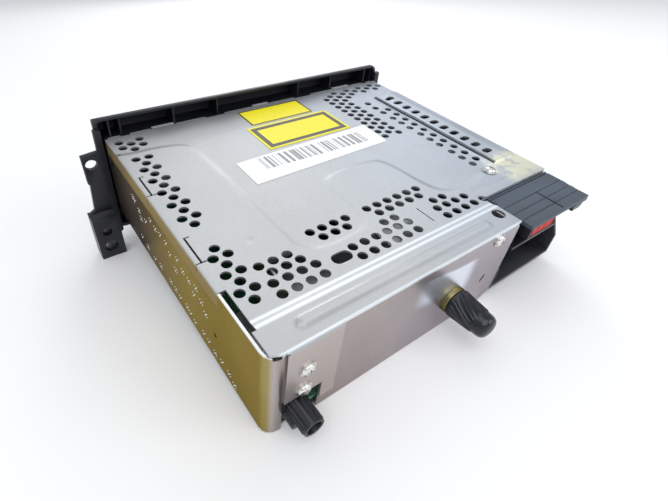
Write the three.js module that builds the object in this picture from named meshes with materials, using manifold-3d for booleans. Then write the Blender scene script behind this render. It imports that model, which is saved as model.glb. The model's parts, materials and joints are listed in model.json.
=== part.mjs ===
// Slot-loading car CD player, seen from behind: +X is its left side, +Y its rear, +Z up. Millimetres.
// The origin is the centre of the case's underside. The fascia faces -Y.

import * as THREE from 'three';
import { mergeVertices } from 'three/addons/utils/BufferGeometryUtils.js';
import Module from 'manifold-3d';

const wasm = await Module();
wasm.setup();

// Driving sizes of the case

const caseWidth = 178;
const caseDepth = 149.3;
const caseHeight = 45.5;
const sheet = 1;
const notchWidth = 51.5;
const notchDepth = 20;
const cornerRadius = 5;
const cornerSteps = 4;
const clearance = 0.3;
const overrun = 10;

const cutSides = 8;
const smallSides = 12;
const roundSides = 20;

// Places measured from the case's own sides

const fromLeft = (distance) => caseWidth / 2 - distance;
const fromRight = (distance) => distance - caseWidth / 2;
const fromRear = (distance) => caseDepth / 2 - distance;
const fromFront = (distance) => distance - caseDepth / 2;
const belowTop = (depth) => caseHeight - depth;

// A place on the plan, as shares of the case's width and depth from its rear left corner

const casePlace = ([widthShare, depthShare]) => [
  fromLeft(widthShare * caseWidth),
  fromRear(depthShare * caseDepth),
];

// Solids

function closedSolid(geometry) {
  geometry.deleteAttribute('normal');
  geometry.deleteAttribute('uv');
  const merged = mergeVertices(geometry);
  const places = merged.attributes.position.array;
  const corners = merged.index.array;
  const faces = [];
  let volume = 0;
  for (let i = 0; i < corners.length; i += 3) {
    const [a, b, c] = corners.slice(i, i + 3);
    if (a === b || b === c || c === a) continue;
    faces.push([a, b, c]);
    const [p, q, r] = [a, b, c].map((k) => new THREE.Vector3().fromArray(places, 3 * k));
    volume += p.dot(q.cross(r));
  }
  const outward = volume > 0 ? faces : faces.map(([a, b, c]) => [a, c, b]);
  const mesh = new wasm.Mesh({
    numProp: 3,
    vertProperties: places,
    triVerts: Uint32Array.from(outward.flat()),
  });
  return new wasm.Manifold(mesh);
}

const join = (...solids) => solids.flat().reduce((sum, next) => sum.add(next));
const cut = (body, ...tools) => tools.flat().reduce((rest, tool) => rest.subtract(tool), body);

// A box between two places on each axis

function block([x0, x1], [y0, y1], [z0, z1]) {
  const box = new THREE.BoxGeometry(Math.abs(x1 - x0), Math.abs(y1 - y0), Math.abs(z1 - z0));
  box.translate((x0 + x1) / 2, (y0 + y1) / 2, (z0 + z1) / 2);
  return closedSolid(box);
}

const around = (centre, size) => [centre - size / 2, centre + size / 2];

// An outline carried along one axis. Its points are (x, y), (x, z) or (y, z).

const axisTurns = {
  z: new THREE.Matrix4(),
  y: new THREE.Matrix4().makeRotationX(Math.PI / 2),
  x: new THREE.Matrix4().makeBasis(
    new THREE.Vector3(0, 1, 0),
    new THREE.Vector3(0, 0, 1),
    new THREE.Vector3(1, 0, 0),
  ),
};

function prism(points, [from, to], axis = 'z') {
  const outline = new THREE.Shape(points.map(([a, b]) => new THREE.Vector2(a, b)));
  const low = Math.min(from, to);
  const high = Math.max(from, to);
  const body = new THREE.ExtrudeGeometry(outline, { depth: high - low, bevelEnabled: false });
  body.applyMatrix4(axisTurns[axis]);
  const shift = { z: [0, 0, low], y: [0, high, 0], x: [low, 0, 0] }[axis];
  body.translate(...shift);
  return closedSolid(body);
}

// A circle as a polygon with its corners on the radius

function circle([a, b], radius, sides = smallSides) {
  const step = (2 * Math.PI) / sides;
  return Array.from({ length: sides }, (_, i) => [
    a + radius * Math.cos(step * (i + 1 / 2)),
    b + radius * Math.sin(step * (i + 1 / 2)),
  ]);
}

const rod = (centre, radius, span, axis, sides = smallSides) => prism(
  circle(centre, radius, sides),
  span,
  axis,
);

function ring(centre, radius, bore, span, axis, sides = smallSides) {
  const ends = [Math.min(...span) - overrun, Math.max(...span) + overrun];
  return cut(rod(centre, radius, span, axis, sides), rod(centre, bore, ends, axis, sides));
}

// A rectangle with round corners, as an outline

function roundedRectangle(spanA, spanB, radius, steps = 4) {
  const [a0, b0] = [Math.min(...spanA), Math.min(...spanB)];
  const [a1, b1] = [Math.max(...spanA), Math.max(...spanB)];
  const limit = Math.min(radius, (a1 - a0) / 2, (b1 - b0) / 2);
  const centres = [
    [a1 - limit, b1 - limit],
    [a0 + limit, b1 - limit],
    [a0 + limit, b0 + limit],
    [a1 - limit, b0 + limit],
  ];
  return centres.flatMap(([a, b], quarter) =>
    Array.from({ length: steps + 1 }, (_, i) => {
      const angle = (Math.PI / 2) * (quarter + i / steps);
      return [a + limit * Math.cos(angle), b + limit * Math.sin(angle)];
    }),
  );
}

// A slot with half-round ends along its first direction

const slotOutline = ([a, b], length, width) =>
  roundedRectangle(around(a, length), around(b, width), width / 2, 3);

// A turned piece on an axis along Y. The profile holds (radius, distance behind the start).

function turned(profile, [x, z], startY, sides = roundSides) {
  const body = new THREE.LatheGeometry(profile.map(([r, h]) => new THREE.Vector2(r, h)), sides);
  body.translate(x, startY, 0);
  const placed = body.translate(0, 0, z);
  return closedSolid(placed);
}

// A gear outline: straight-sided teeth, thinned so that meshed teeth clear each other

const gearModule = 0.7;
const toothThinning = 0.82;
const addendum = gearModule * 0.8;
const dedendum = gearModule * 1.15;
const pitchRadius = (teeth) => (gearModule * teeth) / 2;

function gearOutline([a, b], teeth, phase = 0) {
  const radius = pitchRadius(teeth);
  const pitchAngle = (2 * Math.PI) / teeth;
  const rootShare = 0.33 * toothThinning;
  const tipShare = 0.15 * toothThinning;
  const corners = [
    [radius - dedendum, -rootShare],
    [radius + addendum, -tipShare],
    [radius + addendum, tipShare],
    [radius - dedendum, rootShare],
  ];
  return Array.from({ length: teeth }, (_, tooth) =>
    corners.map(([r, share]) => {
      const angle = phase + pitchAngle * (tooth + share);
      return [a + r * Math.cos(angle), b + r * Math.sin(angle)];
    }),
  ).flat();
}

// The phase that puts a gap of a gear where a tooth of its partner stands

const meshPhase = (direction, teeth) => direction + Math.PI + Math.PI / teeth;

// Finishes

const finishes = {
  coverSteel: { color: 0xc6ccd2, roughness: 0.38, metalness: 0.9 },
  bodySteel: { color: 0xaea7a3, roughness: 0.3, metalness: 0.9 },
  plainSteel: { color: 0xb4b8bc, roughness: 0.4, metalness: 0.9 },
  blackPlastic: { color: 0x0d0e12, roughness: 0.55, metalness: 0 },
  slatePlastic: { color: 0x3f4a5c, roughness: 0.6, metalness: 0 },
  darkPlastic: { color: 0x15171e, roughness: 0.5, metalness: 0 },
  keyPlastic: { color: 0x24262b, roughness: 0.45, metalness: 0 },
  windowPlastic: { color: 0x1a2024, roughness: 0.1, metalness: 0 },
  redPlastic: { color: 0xa81c12, roughness: 0.35, metalness: 0 },
  whitePlastic: { color: 0xe4e2da, roughness: 0.5, metalness: 0 },
  rubber: { color: 0x14161a, roughness: 0.45, metalness: 0 },
  felt: { color: 0x101012, roughness: 0.95, metalness: 0 },
  yellowPaper: { color: 0xf2df1e, roughness: 0.5, metalness: 0 },
  whitePaper: { color: 0xf0f1f0, roughness: 0.5, metalness: 0 },
  board: { color: 0x1c5a3c, roughness: 0.5, metalness: 0 },
  gold: { color: 0xb08a3c, roughness: 0.3, metalness: 1 },
  lens: { color: 0x9ab4d8, roughness: 0.05, metalness: 0 },
  aluminium: { color: 0xb9bcc0, roughness: 0.35, metalness: 0.9 },
};

const model = new THREE.Group();

function add(name, body, finish) {
  const mesh = body.getMesh();
  const geometry = new THREE.BufferGeometry();
  geometry.setAttribute('position', new THREE.BufferAttribute(mesh.vertProperties, 3));
  geometry.setIndex(new THREE.BufferAttribute(mesh.triVerts, 1));
  const piece = new THREE.Mesh(geometry, new THREE.MeshStandardMaterial(finishes[finish]));
  piece.name = name;
  model.add(piece);
}

// Top cover: one pressed sheet

const panelDrop = 0.65;
const rearStripDepth = 13;
const rearStripRise = 0.7;
const beadRise = 0.8;
const beadWidth = 4.6;
const beadEndShares = [0.081, 0.635];
const coverInset = 2.5;
const flangeDepth = 8.3;
const flangeStart = 31.5;
const foldThickness = 0.9;
const ventDiameter = 4.2;

// The line where the middle panel steps down, then round outside the front of the sheet

const panelStepShares = [
  [-0.05, 0.878], [0.155, 0.871], [0.198, 0.813], [0.2, 0.285], [0.207, 0.244], [0.245, 0.208],
  [0.363, 0.214], [0.394, 0.244], [0.4, 0.443], [0.437, 0.47], [0.586, 0.475], [0.617, 0.433],
  [0.628, 0.259], [0.664, 0.212], [0.764, 0.212], [0.836, 0.232], [0.889, 0.235], [0.889, 0.857],
  [1.05, 0.857], [1.05, 1.05], [-0.05, 1.05],
];

// Rows of vents: where a row starts across, its distance from the rear, and how many vents it has

const rowPitch = 6.02;
const ventRowShares = [
  [0.102, 0.134, 4], [0.302, 0.134, 6], [0.574, 0.134, 5],
  [0.102, 0.172, 4], [0.302, 0.172, 6], [0.573, 0.172, 4],
  [0.117, 0.2045, 3], [0.42, 0.205, 2], [0.589, 0.205, 2],
  [0.1015, 0.235, 3], [0.271, 0.246, 3], [0.436, 0.244, 5],
  [0.2535, 0.2775, 4], [0.419, 0.2755, 6],
];

// The zigzag of vents along the left edge, in a front and a rear run: first row, pitch and number of rows

const edgeVentShares = { outer: 0.0354, middle: 0.0517, inner: 0.0685 };
const edgeRunShares = [
  { first: 0.8285, pitch: 0.034, rows: 12, pairsOn: 0 },
  { first: 0.344, pitch: 0.0318, rows: 7, pairsOn: 1 },
];

// The staggered columns of vents at the front right: the row they start on, and how many they have

const frontColumnStart = 0.7245;
const frontColumnPitch = 5.1;
const frontVentPitch = 5.83;
const frontFirstRowShare = 0.968;
const frontColumns = [
  [2, 10], [1, 10], [0, 11], [1, 2], [0, 2], [1, 1], [0, 2], [1, 1], [0, 2], [1, 1],
];

// Groups of three vents, and the row of vents half under the raised strip

const tripletPlaceShare = 0.8365;
const tripletFirstShare = 0.82;
const tripletGroupPitch = 22;
const tripletVentPitch = 6.85;
const tripletSize = 3;
const tripletCount = 4;
const hiddenRowPlaceShare = 0.869;
const hiddenRowFirstShare = 0.741;
const hiddenRowPitch = 7.27;
const hiddenRowCount = 10;

// The small cluster in the front left corner

const cornerVentShares = [
  [0.082, 0.958], [0.0264, 0.959], [0.054, 0.938], [0.0815, 0.92], [0.027, 0.9216], [0.053, 0.9],
];

function ventPlaces() {
  const places = cornerVentShares.map(casePlace);
  for (const [across, back, count] of ventRowShares) {
    const [x, y] = casePlace([across, back]);
    for (let i = 0; i < count; i += 1) places.push([x - rowPitch * i, y]);
  }
  for (const run of edgeRunShares) {
    for (let row = 0; row < run.rows; row += 1) {
      const back = run.first - run.pitch * row;
      const pair = row % 2 === run.pairsOn;
      const across = pair ? [edgeVentShares.outer, edgeVentShares.inner] : [edgeVentShares.middle];
      places.push(...across.map((share) => casePlace([share, back])));
    }
  }
  frontColumns.forEach(([startRow, count], column) => {
    const [x, y] = casePlace([frontColumnStart, frontFirstRowShare]);
    for (let row = 0; row < count; row += 1) {
      places.push([x - frontColumnPitch * column, y + frontVentPitch * (row + startRow / 2)]);
    }
  });
  for (let vent = 0; vent < tripletCount * tripletSize; vent += 1) {
    const [x, y] = casePlace([tripletPlaceShare, tripletFirstShare]);
    const group = Math.floor(vent / tripletSize);
    places.push([x, y + tripletGroupPitch * group + tripletVentPitch * (vent % tripletSize)]);
  }
  for (let vent = 0; vent < hiddenRowCount; vent += 1) {
    const [x, y] = casePlace([hiddenRowPlaceShare, hiddenRowFirstShare]);
    places.push([x, y + hiddenRowPitch * vent]);
  }
  return places;
}

// The raised strip at the right, which opens towards the middle and slopes down to the edge

const strip = { slit: 19.8, crest: 7.5, toe: 1.2, rear: 35.8, front: 21.3, rise: 1.3 };
const ovalLength = 6.4;
const ovalWidth = 4;
const ovalPitch = 7.33;
const ovalCount = 11;
const firstOvalFromRear = 46;
const ovalFromRight = 13.9;

// The front edge: bent-down tabs and straight tongues, as shares of the width

const frontTabShares = [
  [0.011, 0.044], [0.072, 0.131], [0.207, 0.302], [0.37, 0.466], [0.537, 0.633], [0.707, 0.802],
  [0.888, 0.944], [0.972, 0.989],
];
const frontTongueShares = [[0.135, 0.201], [0.472, 0.53], [0.807, 0.88]];
const tabDrop = 4;
const tongueReach = 2.9;

// Spring fingers lanced at the left edge: where each starts from the rear, and its length

const fingerShares = [[0.627, 0.727], [0.315, 0.415]];
const fingerWidth = 1.5;
const lanceWidth = 0.6;

// The rear flap that laps over the rear wall at the left

const flapEdges = { left: 6.5, right: 28.3, bottom: 37.9 };
const stripSplit = 39;
const mastNotch = { left: 6.3, right: 22, top: 28 };
const largeHole = { across: 121.6, back: 8.5, diameter: 6 };
const longSlot = { across: 46.6, back: 23.5, length: 9, width: 5.5 };
const coverScrewPlace = { across: 149.8, back: 33.1 };
const screwShank = 1.5;
const bodyScrews = [{ across: 14.5, depth: 13.1 }, { across: 13.9, depth: 24.4 }, {
  across: 112.6,
  depth: 3.8,
}];

function coverOutline() {
  const rearLap = fromRear(0) + foldThickness;
  return [
    [fromLeft(coverInset), rearLap],
    [fromLeft(stripSplit), rearLap],
    [fromLeft(stripSplit), fromRear(0)],
    [fromRight(notchWidth), fromRear(0)],
    [fromRight(notchWidth), fromRear(notchDepth)],
    [fromRight(0), fromRear(notchDepth)],
    [fromRight(0), fromFront(0)],
    [fromLeft(0), fromFront(0)],
    [fromLeft(0), fromRear(flangeStart)],
    [fromLeft(coverInset), fromRear(flangeStart)],
  ];
}

const lowestSheet = belowTop(panelDrop + sheet);

function raisedStrip() {
  const outer = [
    [fromRight(strip.slit), belowTop(-strip.rise)],
    [fromRight(strip.crest), belowTop(-strip.rise)],
    [fromRight(strip.toe), belowTop(0)],
  ];
  const inner = outer.map(([x, z]) => [x, z - sheet]).reverse();
  const span = [fromRear(strip.rear), fromFront(strip.front)];
  const endWalls = [fromRear(strip.rear), fromFront(strip.front + sheet)].map((y) =>
    prism(
      [...outer, [fromRight(strip.toe), lowestSheet], [fromRight(strip.slit), lowestSheet]],
      [y, y - sheet],
      'y',
    ),
  );
  const foot = block([fromRight(strip.toe), fromRight(0)], span, [lowestSheet, belowTop(0)]);
  return join(prism([...outer, ...inner], span, 'y'), endWalls, foot);
}

function topCover() {
  const plate = prism(coverOutline(), [lowestSheet, belowTop(0)]);
  const lowered = panelStepShares.map(casePlace);
  const hollowAbove = prism(lowered, [belowTop(panelDrop), belowTop(-overrun)]);
  const underHigh = block(
    [fromRight(-overrun), fromLeft(-overrun)],
    [fromFront(-overrun), fromRear(-overrun)],
    [lowestSheet - overrun, belowTop(sheet)],
  );
  const hollowBelow = cut(underHigh, prism(lowered, [lowestSheet - 2 * overrun, belowTop(0)]));
  const stripWell = block(
    [fromRight(strip.slit), fromRight(strip.toe)],
    [fromRear(strip.rear), fromFront(strip.front)],
    [lowestSheet - overrun, belowTop(-overrun)],
  );

  const rearEdge = fromRear(0);
  const rearFront = fromRear(rearStripDepth);
  const rearTop = belowTop(-rearStripRise);
  const rearStrip = block(
    [fromLeft(coverInset), fromRight(notchWidth)],
    [rearFront, rearEdge],
    [belowTop(sheet), rearTop],
  );
  const lap = block(
    [fromLeft(coverInset), fromLeft(stripSplit)],
    [rearEdge, rearEdge + foldThickness],
    [belowTop(sheet), rearTop],
  );
  const rearHollow = block(
    [fromLeft(coverInset + sheet), fromRight(notchWidth + sheet)],
    [rearFront + sheet, rearEdge],
    [lowestSheet - overrun, rearTop - sheet],
  );
  const [beadStart, beadEnd] = beadEndShares.map((share) => fromLeft(share * caseWidth));
  const beadBack = fromRear(rearStripDepth / 2);
  const bead = prism(
    roundedRectangle([beadEnd, beadStart], around(beadBack, beadWidth), beadWidth / 2),
    [rearTop - sheet / 2, rearTop + beadRise],
  );
  const flap = block(
    [fromLeft(flapEdges.left), fromLeft(flapEdges.right)],
    [rearEdge, rearEdge + foldThickness],
    [belowTop(flapEdges.bottom), belowTop(0)],
  );
  const mastCut = block(
    [fromLeft(mastNotch.left), fromLeft(mastNotch.right)],
    [rearEdge - overrun, rearEdge + overrun],
    [belowTop(mastNotch.top), -overrun],
  );

  const flanges = [fromLeft(0), fromRight(foldThickness)].map((x) =>
    block(
      [x, x - foldThickness],
      [fromFront(0), fromRear(flangeStart)],
      [belowTop(flangeDepth), belowTop(panelDrop)],
    ),
  );
  const tabs = frontTabShares.map(([a, b]) =>
    block(
      [fromLeft(a * caseWidth), fromLeft(b * caseWidth)],
      [fromFront(-foldThickness), fromFront(0)],
      [belowTop(tabDrop), belowTop(panelDrop)],
    ),
  );
  const tongues = frontTongueShares.map(([a, b]) =>
    block(
      [fromLeft(a * caseWidth), fromLeft(b * caseWidth)],
      [fromFront(-tongueReach), fromFront(0)],
      [lowestSheet, belowTop(panelDrop)],
    ),
  );
  const lances = fingerShares.map(([a, b]) => {
    const [back, front] = [a, b].map((share) => fromRear(share * caseDepth));
    const inner = fromLeft(foldThickness + fingerWidth + lanceWidth);
    const heights = [lowestSheet - overrun, belowTop(-overrun)];
    const along = block([inner, inner + lanceWidth], [front, back], heights);
    const across = block([inner, fromLeft(-overrun)], [front, front - lanceWidth], heights);
    return join(along, across);
  });

  const drills = ventPlaces().map((place) =>
    prism(circle(place, ventDiameter / 2, cutSides), [lowestSheet - overrun, belowTop(-overrun)]),
  );
  for (let i = 0; i < ovalCount; i += 1) {
    const place = [fromRight(ovalFromRight), fromRear(firstOvalFromRear + ovalPitch * i)];
    drills.push(
      prism(slotOutline(place, ovalLength, ovalWidth), [lowestSheet - overrun, belowTop(-overrun)]),
    );
  }
  const through = [lowestSheet - overrun, belowTop(-overrun)];
  drills.push(
    rod([fromLeft(largeHole.across), fromRear(largeHole.back)], largeHole.diameter / 2, through, 'z'),
  );
  drills.push(
    prism(
      slotOutline([fromLeft(longSlot.across), fromRear(longSlot.back)], longSlot.length, longSlot.width),
      through,
    ),
  );
  const screwPlace = [fromLeft(coverScrewPlace.across), fromRear(coverScrewPlace.back)];
  drills.push(rod(screwPlace, screwShank + clearance, through, 'z'));
  const lapped = bodyScrews.filter(({ across }) => across < flapEdges.right);
  const behind = [rearEdge, rearEdge + overrun];
  drills.push(...lapped.map(({ across, depth }) =>
    rod([fromLeft(across), belowTop(depth)], screwShank + clearance, behind, 'y')),
  );

  const pressed = cut(plate, hollowAbove, hollowBelow, stripWell);
  const formed = join(pressed, rearStrip, lap, bead, flap, flanges, tabs, tongues, raisedStrip());
  return cut(formed, rearHollow, mastCut, lances, join(drills));
}

add('top_cover', topCover(), 'coverSteel');

// Case body: folded side, rear, notch and front walls, open above and below

const wallTop = lowestSheet;
const joggle = foldThickness + clearance;
const discHeight = 33;
const frontSlot = { halfWidth: 66, low: 28, high: 39.5 };
const cableWindow = { halfWidth: 22, low: 6, high: 12 };
const rearWallChamfer = { across: 6, up: 4.1 };
const studPlace = { across: 91.8, depth: 27 };
const studRadius = 3;
const rearWallOverlap = belowTop(sheet - rearStripRise);

function planOutline(inset) {
  const radius = cornerRadius - inset;
  const corner = Array.from({ length: cornerSteps + 1 }, (_, i) => {
    const angle = (Math.PI / 2 / cornerSteps) * i;
    return [
      fromLeft(cornerRadius) + radius * Math.cos(angle),
      fromRear(cornerRadius) + radius * Math.sin(angle),
    ];
  });
  return [
    [fromLeft(inset), fromFront(inset)],
    ...corner,
    [fromRight(notchWidth + inset), fromRear(inset)],
    [fromRight(notchWidth + inset), fromRear(notchDepth + inset)],
    [fromRight(inset), fromRear(notchDepth + inset)],
    [fromRight(inset), fromFront(inset)],
  ];
}

function caseBody() {
  const aboveSeat = [wallTop, belowTop(-overrun)];
  const coverSeat = block(
    [fromRight(-overrun), fromLeft(coverInset - clearance)],
    [fromFront(-overrun), fromRear(-overrun)],
    aboveSeat,
  );
  const flangeSeat = block(
    [fromRight(-overrun), fromLeft(-overrun)],
    [fromFront(-overrun), fromRear(flangeStart)],
    aboveSeat,
  );
  const shell = cut(
    prism(planOutline(0), [0, belowTop(clearance)]),
    prism(planOutline(sheet), [-overrun, belowTop(-overrun)]),
    coverSeat,
    flangeSeat,
  );
  const rearLip = block(
    [fromLeft(cornerRadius), fromRight(notchWidth + sheet + clearance)],
    [fromRear(sheet), fromRear(0)],
    [wallTop - sheet, rearWallOverlap],
  );
  const sideRun = [fromFront(sheet), fromRear(flangeStart)];
  const foldBottom = belowTop(flangeDepth + clearance);
  const sides = [1, -1].map((side) => {
    const at = (distance) => side * fromLeft(distance);
    const relief = block(
      [at(joggle), at(-overrun)],
      [fromFront(-overrun), fromRear(flangeStart)],
      [foldBottom, belowTop(-overrun)],
    );
    const step = block([at(0), at(joggle + sheet)], sideRun, [foldBottom - sheet, foldBottom]);
    const upper = block([at(joggle), at(joggle + sheet)], sideRun, [foldBottom - sheet, wallTop]);
    return { relief, added: join(step, upper) };
  });
  const walls = join(
    cut(shell, sides.map((side) => side.relief)),
    rearLip,
    sides.map((side) => side.added),
  );

  const frontRun = [fromFront(-overrun), fromFront(sheet + joggle)];
  const slot = block(
    [-frontSlot.halfWidth, frontSlot.halfWidth],
    frontRun,
    [frontSlot.low, frontSlot.high],
  );
  const window = block(
    [-cableWindow.halfWidth, cableWindow.halfWidth],
    frontRun,
    [cableWindow.low, cableWindow.high],
  );
  const rearRun = [fromRear(sheet + overrun), fromRear(-overrun)];
  const mast = block(
    [fromLeft(mastNotch.left), fromLeft(mastNotch.right)],
    [fromRear(sheet + clearance), fromRear(-overrun)],
    [-overrun, belowTop(mastNotch.top)],
  );
  const holes = bodyScrews.map(({ across, depth }) =>
    rod([fromLeft(across), belowTop(depth)], screwShank + clearance, rearRun, 'y'),
  );
  const studHole = rod(
    [fromLeft(studPlace.across), belowTop(studPlace.depth)],
    studRadius + clearance,
    rearRun,
    'y',
  );
  const chamfer = prism(
    [
      [fromRight(notchWidth + rearWallChamfer.across), 0],
      [fromRight(notchWidth), rearWallChamfer.up],
      [fromRight(notchWidth - overrun), rearWallChamfer.up],
      [fromRight(notchWidth - overrun), -overrun],
      [fromRight(notchWidth + rearWallChamfer.across), -overrun],
    ],
    [fromRear(sheet), fromRear(-overrun)],
    'y',
  );
  return cut(walls, slot, window, mast, holes, studHole, chamfer);
}

add('chassis_body', caseBody(), 'bodySteel');

// Bottom cover with the pillars that carry the main board and the disc deck

const boardPillar = { radius: 3, bore: 3.4 };
const boardThickness = 1.6;
const boardBottom = 5;
const boardTop = boardBottom + boardThickness;
const deckBase = 16;
const damper = { radius: 5, height: 3 };
const deckPillar = { across: 56, front: 56, rear: 42 };
const pillarPlaces = [
  [deckPillar.across, -deckPillar.front],
  [-deckPillar.across, -deckPillar.front],
  [0, deckPillar.rear],
];
const standoffShares = [[0.062, 0.902], [0.938, 0.902], [0.062, 0.366], [0.938, 0.513]];

const bottomPlate = prism(planOutline(sheet + clearance), [0, sheet]);
const deckPillars = pillarPlaces.map((place) =>
  rod(place, boardPillar.radius, [sheet / 2, deckBase - damper.height], 'z'),
);
const standoffs = standoffShares.map((share) =>
  rod(casePlace(share), boardPillar.radius, [sheet / 2, boardBottom], 'z', cutSides),
);
add('bottom_cover', join(bottomPlate, deckPillars, standoffs), 'plainSteel');

pillarPlaces.forEach((place, i) => {
  add(
    `deck_damper_${i + 1}`,
    rod(place, damper.radius, [deckBase - damper.height, deckBase], 'z'),
    'rubber',
  );
});

// Fascia moulding, open at the back, with the tunnel that the disc passes through

const fascia = {
  overhang: 3.3,
  above: 8.5,
  below: 57,
  rimFromCase: 3.2,
  depth: 13.5,
  corner: 4,
  wall: 2,
  front: 2.2,
  ridge: 1.2,
};
const taper = { rim: 2.4, top: 5.6, side: 2 };
const skirt = { below: 1.5, thickness: 1.5, underTab: 2.4, backFromCase: 1.2 };
const fasciaBack = fromFront(-fascia.rimFromCase);
const fasciaFront = fasciaBack - fascia.depth;
const fasciaInside = fasciaFront + fascia.front;
const fasciaLow = belowTop(fascia.below);
const fasciaHigh = belowTop(-fascia.above);
const tunnel = { halfWidth: 61.5, height: 5, wall: 1.5, length: 9 };
const tunnelBack = fasciaFront + tunnel.length;
const flapPin = { radius: 1, length: 2.4, above: 2.1 };
const ribShares = [0.022, 0.052, 0.209, 0.352, 0.661, 0.803, 0.968, 0.999];
const ribWidth = 0.8;

const display = { halfWidth: 46, low: 14, high: 27 };
const keySize = { width: 16, height: 8, radius: 1.2 };
const presetRowHeight = 6.5;
const presetPitch = 20;
const presetCount = 6;
const ejectSize = { width: 13, height: 6.5 };
const slotToKey = 0.5;
const sideKeys = frontSlot.halfWidth + slotToKey + ejectSize.width / 2;
const sourceKey = { across: sideKeys, up: 20 };
const ejectKey = { across: sideKeys, up: 37, ...ejectSize };
const knob = { across: 76, up: 20, radius: 10, edge: 1, stem: 3, length: 12, stemLength: 6 };
const keyTravel = 1.2;
const switchSize = { width: 4, height: 2 };
const keyProud = 1.5;
const keyFlange = 1;

const presetKeys = Array.from({ length: presetCount }, (_, i) => ({
  name: `preset_button_${i + 1}`,
  x: presetPitch * (i - (presetCount - 1) / 2),
  z: presetRowHeight,
  ...keySize,
}));
const keys = [
  ...presetKeys,
  { name: 'source_button', x: sourceKey.across, z: sourceKey.up, ...keySize },
  {
    name: 'eject_button',
    x: ejectKey.across,
    z: ejectKey.up,
    ...keySize,
    width: ejectKey.width,
    height: ejectKey.height,
  },
];

const keyOutline = (key, margin) =>
  roundedRectangle(
    around(key.x, key.width + 2 * margin),
    around(key.z, key.height + 2 * margin),
    key.radius + margin,
    2,
  );

function tunnelPrism(margin, span) {
  return block(
    [-tunnel.halfWidth - margin, tunnel.halfWidth + margin],
    span,
    around(discHeight, tunnel.height + 2 * margin),
  );
}

const flapHinge = { y: tunnelBack + flapPin.radius, z: discHeight + tunnel.height / 2 + flapPin.above };
const earInside = tunnel.halfWidth + clearance * 4;
const boss = { across: 84, low: 3, high: 38 };
const bossPlaces = [1, -1].flatMap((side) => [boss.low, boss.high].map((up) => [side * boss.across, up]));
const fasciaBoardFront = fasciaInside + 2 * clearance + keyFlange + keyTravel + switchSize.height;

// Behind its rim the moulding's top and sides draw in towards the front

function taperWedges(depth) {
  const start = fasciaBack - taper.rim;
  const front = fasciaFront - overrun;
  const run = (start - front) / (start - fasciaFront);
  const roof = fasciaHigh - depth.top;
  const roofWedge = prism(
    [
      [start, roof],
      [front, roof - taper.top * run],
      [front, fasciaHigh + overrun],
      [start, fasciaHigh + overrun],
    ],
    [fromLeft(-fascia.overhang - overrun), fromRight(-fascia.overhang - overrun)],
    'x',
  );
  const sideWedges = [1, -1].map((side) => {
    const wall = fromLeft(depth.side - fascia.overhang);
    const outside = fromLeft(-fascia.overhang - overrun);
    return prism(
      [
        [side * wall, start],
        [side * outside, start],
        [side * outside, front],
        [side * (wall - taper.side * run), front],
      ],
      [fasciaLow - overrun, fasciaHigh + overrun],
      'z',
    );
  });
  return [roofWedge, ...sideWedges];
}

function frontBezel() {
  const width = [fromLeft(-fascia.overhang), fromRight(-fascia.overhang)];
  const body = prism(
    roundedRectangle(width, [fasciaLow, fasciaHigh], fascia.corner),
    [fasciaBack, fasciaFront],
    'y',
  );
  const cavity = prism(
    roundedRectangle(
      [fromLeft(fascia.wall - fascia.overhang), fromRight(fascia.wall - fascia.overhang)],
      [fasciaLow + fascia.wall, fasciaHigh - fascia.ridge],
      fascia.corner - fascia.wall,
    ),
    [fasciaBack + overrun, fasciaInside],
    'y',
  );
  const skirtOutline = (inset) =>
    roundedRectangle(
      [fromLeft(inset), fromRight(inset)],
      [-skirt.below - skirt.thickness + inset, belowTop(skirt.underTab) - inset],
      fascia.wall,
      2,
    );
  const skirtBack = fromFront(-skirt.backFromCase);
  const collar = cut(
    prism(skirtOutline(0), [skirtBack, fasciaInside - fascia.front / 2], 'y'),
    prism(skirtOutline(skirt.thickness), [skirtBack + overrun, fasciaInside], 'y'),
  );
  const ribs = ribShares.map((share) =>
    block(
      around(fromLeft(share * caseWidth), ribWidth),
      [fasciaBack - sheet, fasciaInside - fascia.front / 2],
      [belowTop(skirt.underTab + skirt.thickness / 2), fasciaHigh - fascia.ridge / 2],
    ),
  );
  const tunnelWalls = tunnelPrism(tunnel.wall, [tunnelBack, fasciaFront + fascia.front / 2]);
  const ears = [1, -1].map((side) =>
    block(
      [side * earInside, side * (earInside + flapPin.length)],
      [tunnelBack - tunnel.wall, flapHinge.y + 2 * flapPin.radius],
      [discHeight, flapHinge.z + 2 * flapPin.radius],
    ),
  );
  const pinHole = rod(
    [flapHinge.y, flapHinge.z],
    flapPin.radius + clearance,
    [fromLeft(0), fromRight(0)],
    'x',
    cutSides,
  );
  const bosses = bossPlaces.map((place) =>
    rod(place, boardPillar.radius, [fasciaInside - fascia.front / 2, fasciaBoardFront], 'y', cutSides),
  );
  const keyHoles = keys.map((key) =>
    prism(keyOutline(key, clearance), [fasciaInside + clearance, fasciaFront - overrun], 'y'),
  );
  const windowHole = block(
    [-display.halfWidth - clearance, display.halfWidth + clearance],
    [fasciaInside + clearance, fasciaFront - overrun],
    [display.low - clearance, display.high + clearance],
  );
  const knobHole = rod(
    [-knob.across, knob.up],
    knob.stem + clearance,
    [fasciaInside + clearance, fasciaFront - overrun],
    'y',
  );
  const discWay = tunnelPrism(0, [tunnelBack + overrun, fasciaFront - overrun]);
  const hollow = cut(cavity, taperWedges({ top: fascia.ridge, side: fascia.wall }));
  const shell = join(cut(body, hollow), collar, ribs, tunnelWalls, cut(join(ears), pinHole), bosses);
  return cut(shell, taperWedges({ top: 0, side: 0 }), discWay, keyHoles, windowHole, knobHole);
}

add('front_bezel', frontBezel(), 'blackPlastic');

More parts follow.
